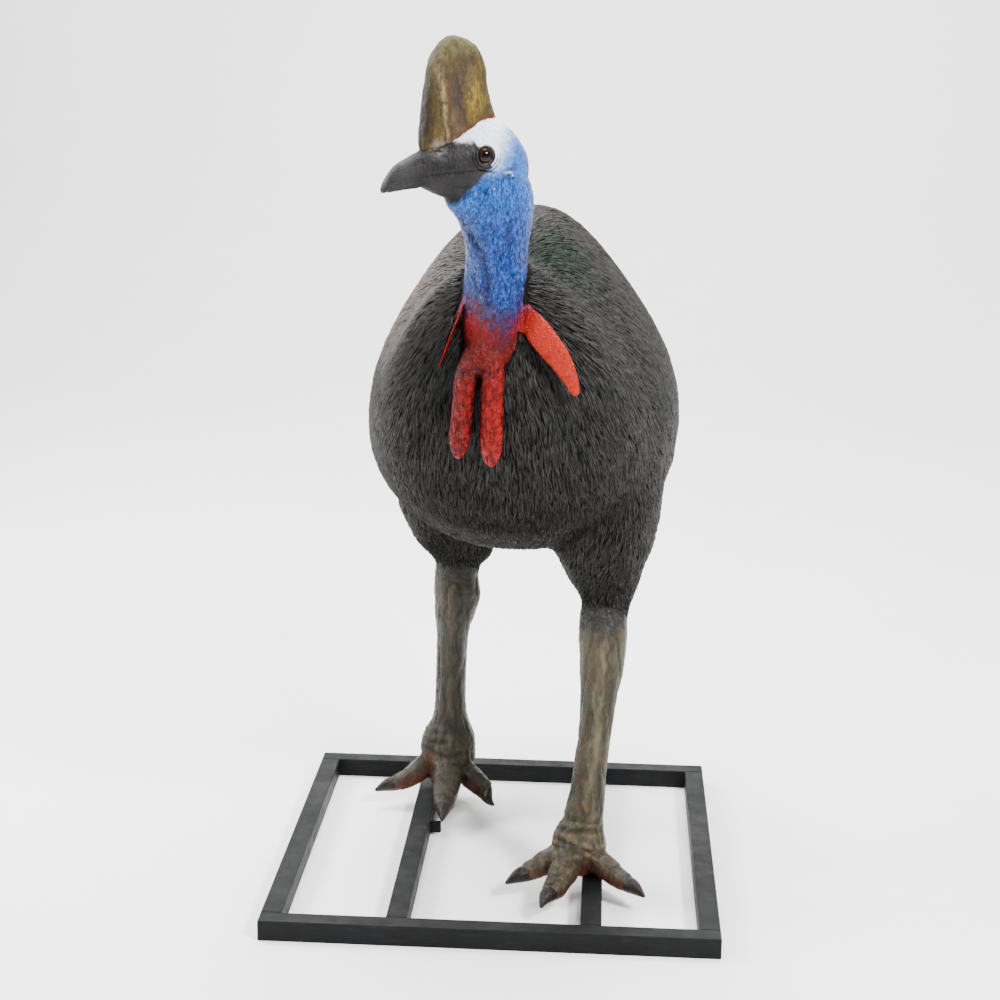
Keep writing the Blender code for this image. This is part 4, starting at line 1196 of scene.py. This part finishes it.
# %% Make the eyes and their lids
BALL = EYE_SIZE * INSET
for side, way in (("left", 1), ("right", -1)):
    outward = (HEAD_LEFT * way + HEAD_AHEAD * 0.1).normalized()
    turn = np.array(outward.to_track_quat("Z", "Y").to_matrix())
    middle = np.array(HEAD + HEAD_LEFT * (way * 0.037) + UP * EYE_RISE)
    ball = ready_made(bpy.ops.mesh.primitive_uv_sphere_add, "eyeball_" + side, segments=48, ring_count=36,
                      radius=BALL)
    local = read(ball)
    from_pole = np.degrees(np.arccos(np.clip(local[:, 2] / BALL, -1, 1)))
    write(ball, local @ turn.T + middle)
    keep(ball, from_pole=from_pole)
    wear(ball, pupil, iris)
    inside = np.array([from_pole[list(p.vertices)].mean() for p in ball.data.polygons])
    on_iris = (inside > PUPIL_EDGE) & (inside < IRIS_EDGE)
    ball.data.polygons.foreach_set("material_index", on_iris.astype(np.int32))
    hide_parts("eye_" + side)
    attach(ball, "root")
    lid = ready_made(bpy.ops.mesh.primitive_torus_add, "eyelid_" + side, major_segments=64,
                     minor_segments=12, major_radius=0.0153, minor_radius=0.0017)
    local = read(lid)
    local[:, 2] += 0.0066 + 0.0005 * np.sin(3 * np.arctan2(local[:, 1], local[:, 0]))
    write(lid, local @ turn.T + middle)
    wear(lid, lid_paint)
    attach(lid, "root")

# %% [markdown]
# ## Claws
# The claws are blunt dark cones, darker than the toes and a little glossier, with faint grooves
# along them and a few chips of bare resin at their tips.

# %% Make the claws
# Dark brown acrylic under a thin satin varnish, chipped at the tips to the pale resin.
nail = Paint("dark_claw_paint_on_resin")
groove = nail.noise(3.0, 0.38, 0.62, (1, 1, 1), 2)
colour = nail.coats(nail.mix(nail.noise(14, 0.4, 0.62), "#0a0605", "#1a110d"), (groove, 0.25, "#2c221c"),
                    (nail.noise(2.2, 0.66, 0.72), nail.mask("tip"), "#b9b4ab"))
claw_paint = nail.finish(colour, nail.between(groove, 0.26, 0.4), groove, 0.0005, 0.25)
for name in CLAWS:
    claw = remeshed([name], "nail_" + name[5:], 0.0012, 0.0009, 3)
    points = read(claw)
    from_root = np.linalg.norm(points - points[np.argmax(points[:, 2])], axis=1)
    share = from_root / from_root.max()
    write(claw, touched(points + read(claw, "normal") * (0.0026 * bell(share, 0.42, 0.3))[:, None]))
    keep(claw, tip=step(share, 0.72, 0.9))
    wear(claw, claw_paint)
    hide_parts(name)
    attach(claw, "root")

# %% [markdown]
# ## The stand
# The stand is square steel tube, welded and painted dark grey.  The solids of its rails and bars
# already have their true shape, so they stay and get paint.  The two small tabs that the feet are
# held by get rounded edges.

# %% Paint the steel
# Dark grey machinery enamel, brushed on mill steel: satin, a little cloudy, with rubbed streaks.
enamel = Paint("satin_charcoal_paint_on_steel")
cloud = enamel.noise(70, 0.38, 0.62)
colour = enamel.coats(enamel.mix(cloud, "#090a0b", "#111314"),
                      (enamel.noise(9, 0.55, 0.72, (6, 1, 1)), 0.2, "#38342f"))
steel = enamel.finish(colour, enamel.between(cloud, 0.46, 0.62), enamel.noise(1.6, 0.4, 0.62, (1, 1, 1), 2),
                      0.0002, 0.12)
for name, ob in nodes.items():
    if name.startswith("stand_") and "tab" not in name:
        ob.data.materials.clear()
        ob.data.materials.append(steel)

# %% Round the edges of the tabs
for side in SIDES:
    low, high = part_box("stand_tab_" + side)
    low.x = max(low.x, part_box("stand_bar_" + side)[0].x + 0.002)
    tab = ready_made(bpy.ops.mesh.primitive_cube_add, "foot_tab_" + side, size=1)
    write(tab, (read(tab) * INSET) * np.array(high - low) + np.array(low + high) / 2)
    modify(tab, "BEVEL", width=0.004, segments=4)
    wear(tab, steel)
    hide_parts("stand_tab_" + side)
    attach(tab, "root")

# %% Paint the floor
# Matt seamless paper, almost white, with no highlight to speak of.
paper = Paint("pale_studio_floor")
cloud = paper.noise(900, 0.3, 0.7)
wear(floor, paper.finish(paper.mix(cloud, "#f6f6f5", "#fafaf9"), paper.between(cloud, 0.75, 0.85),
                         cloud, 0.0005))
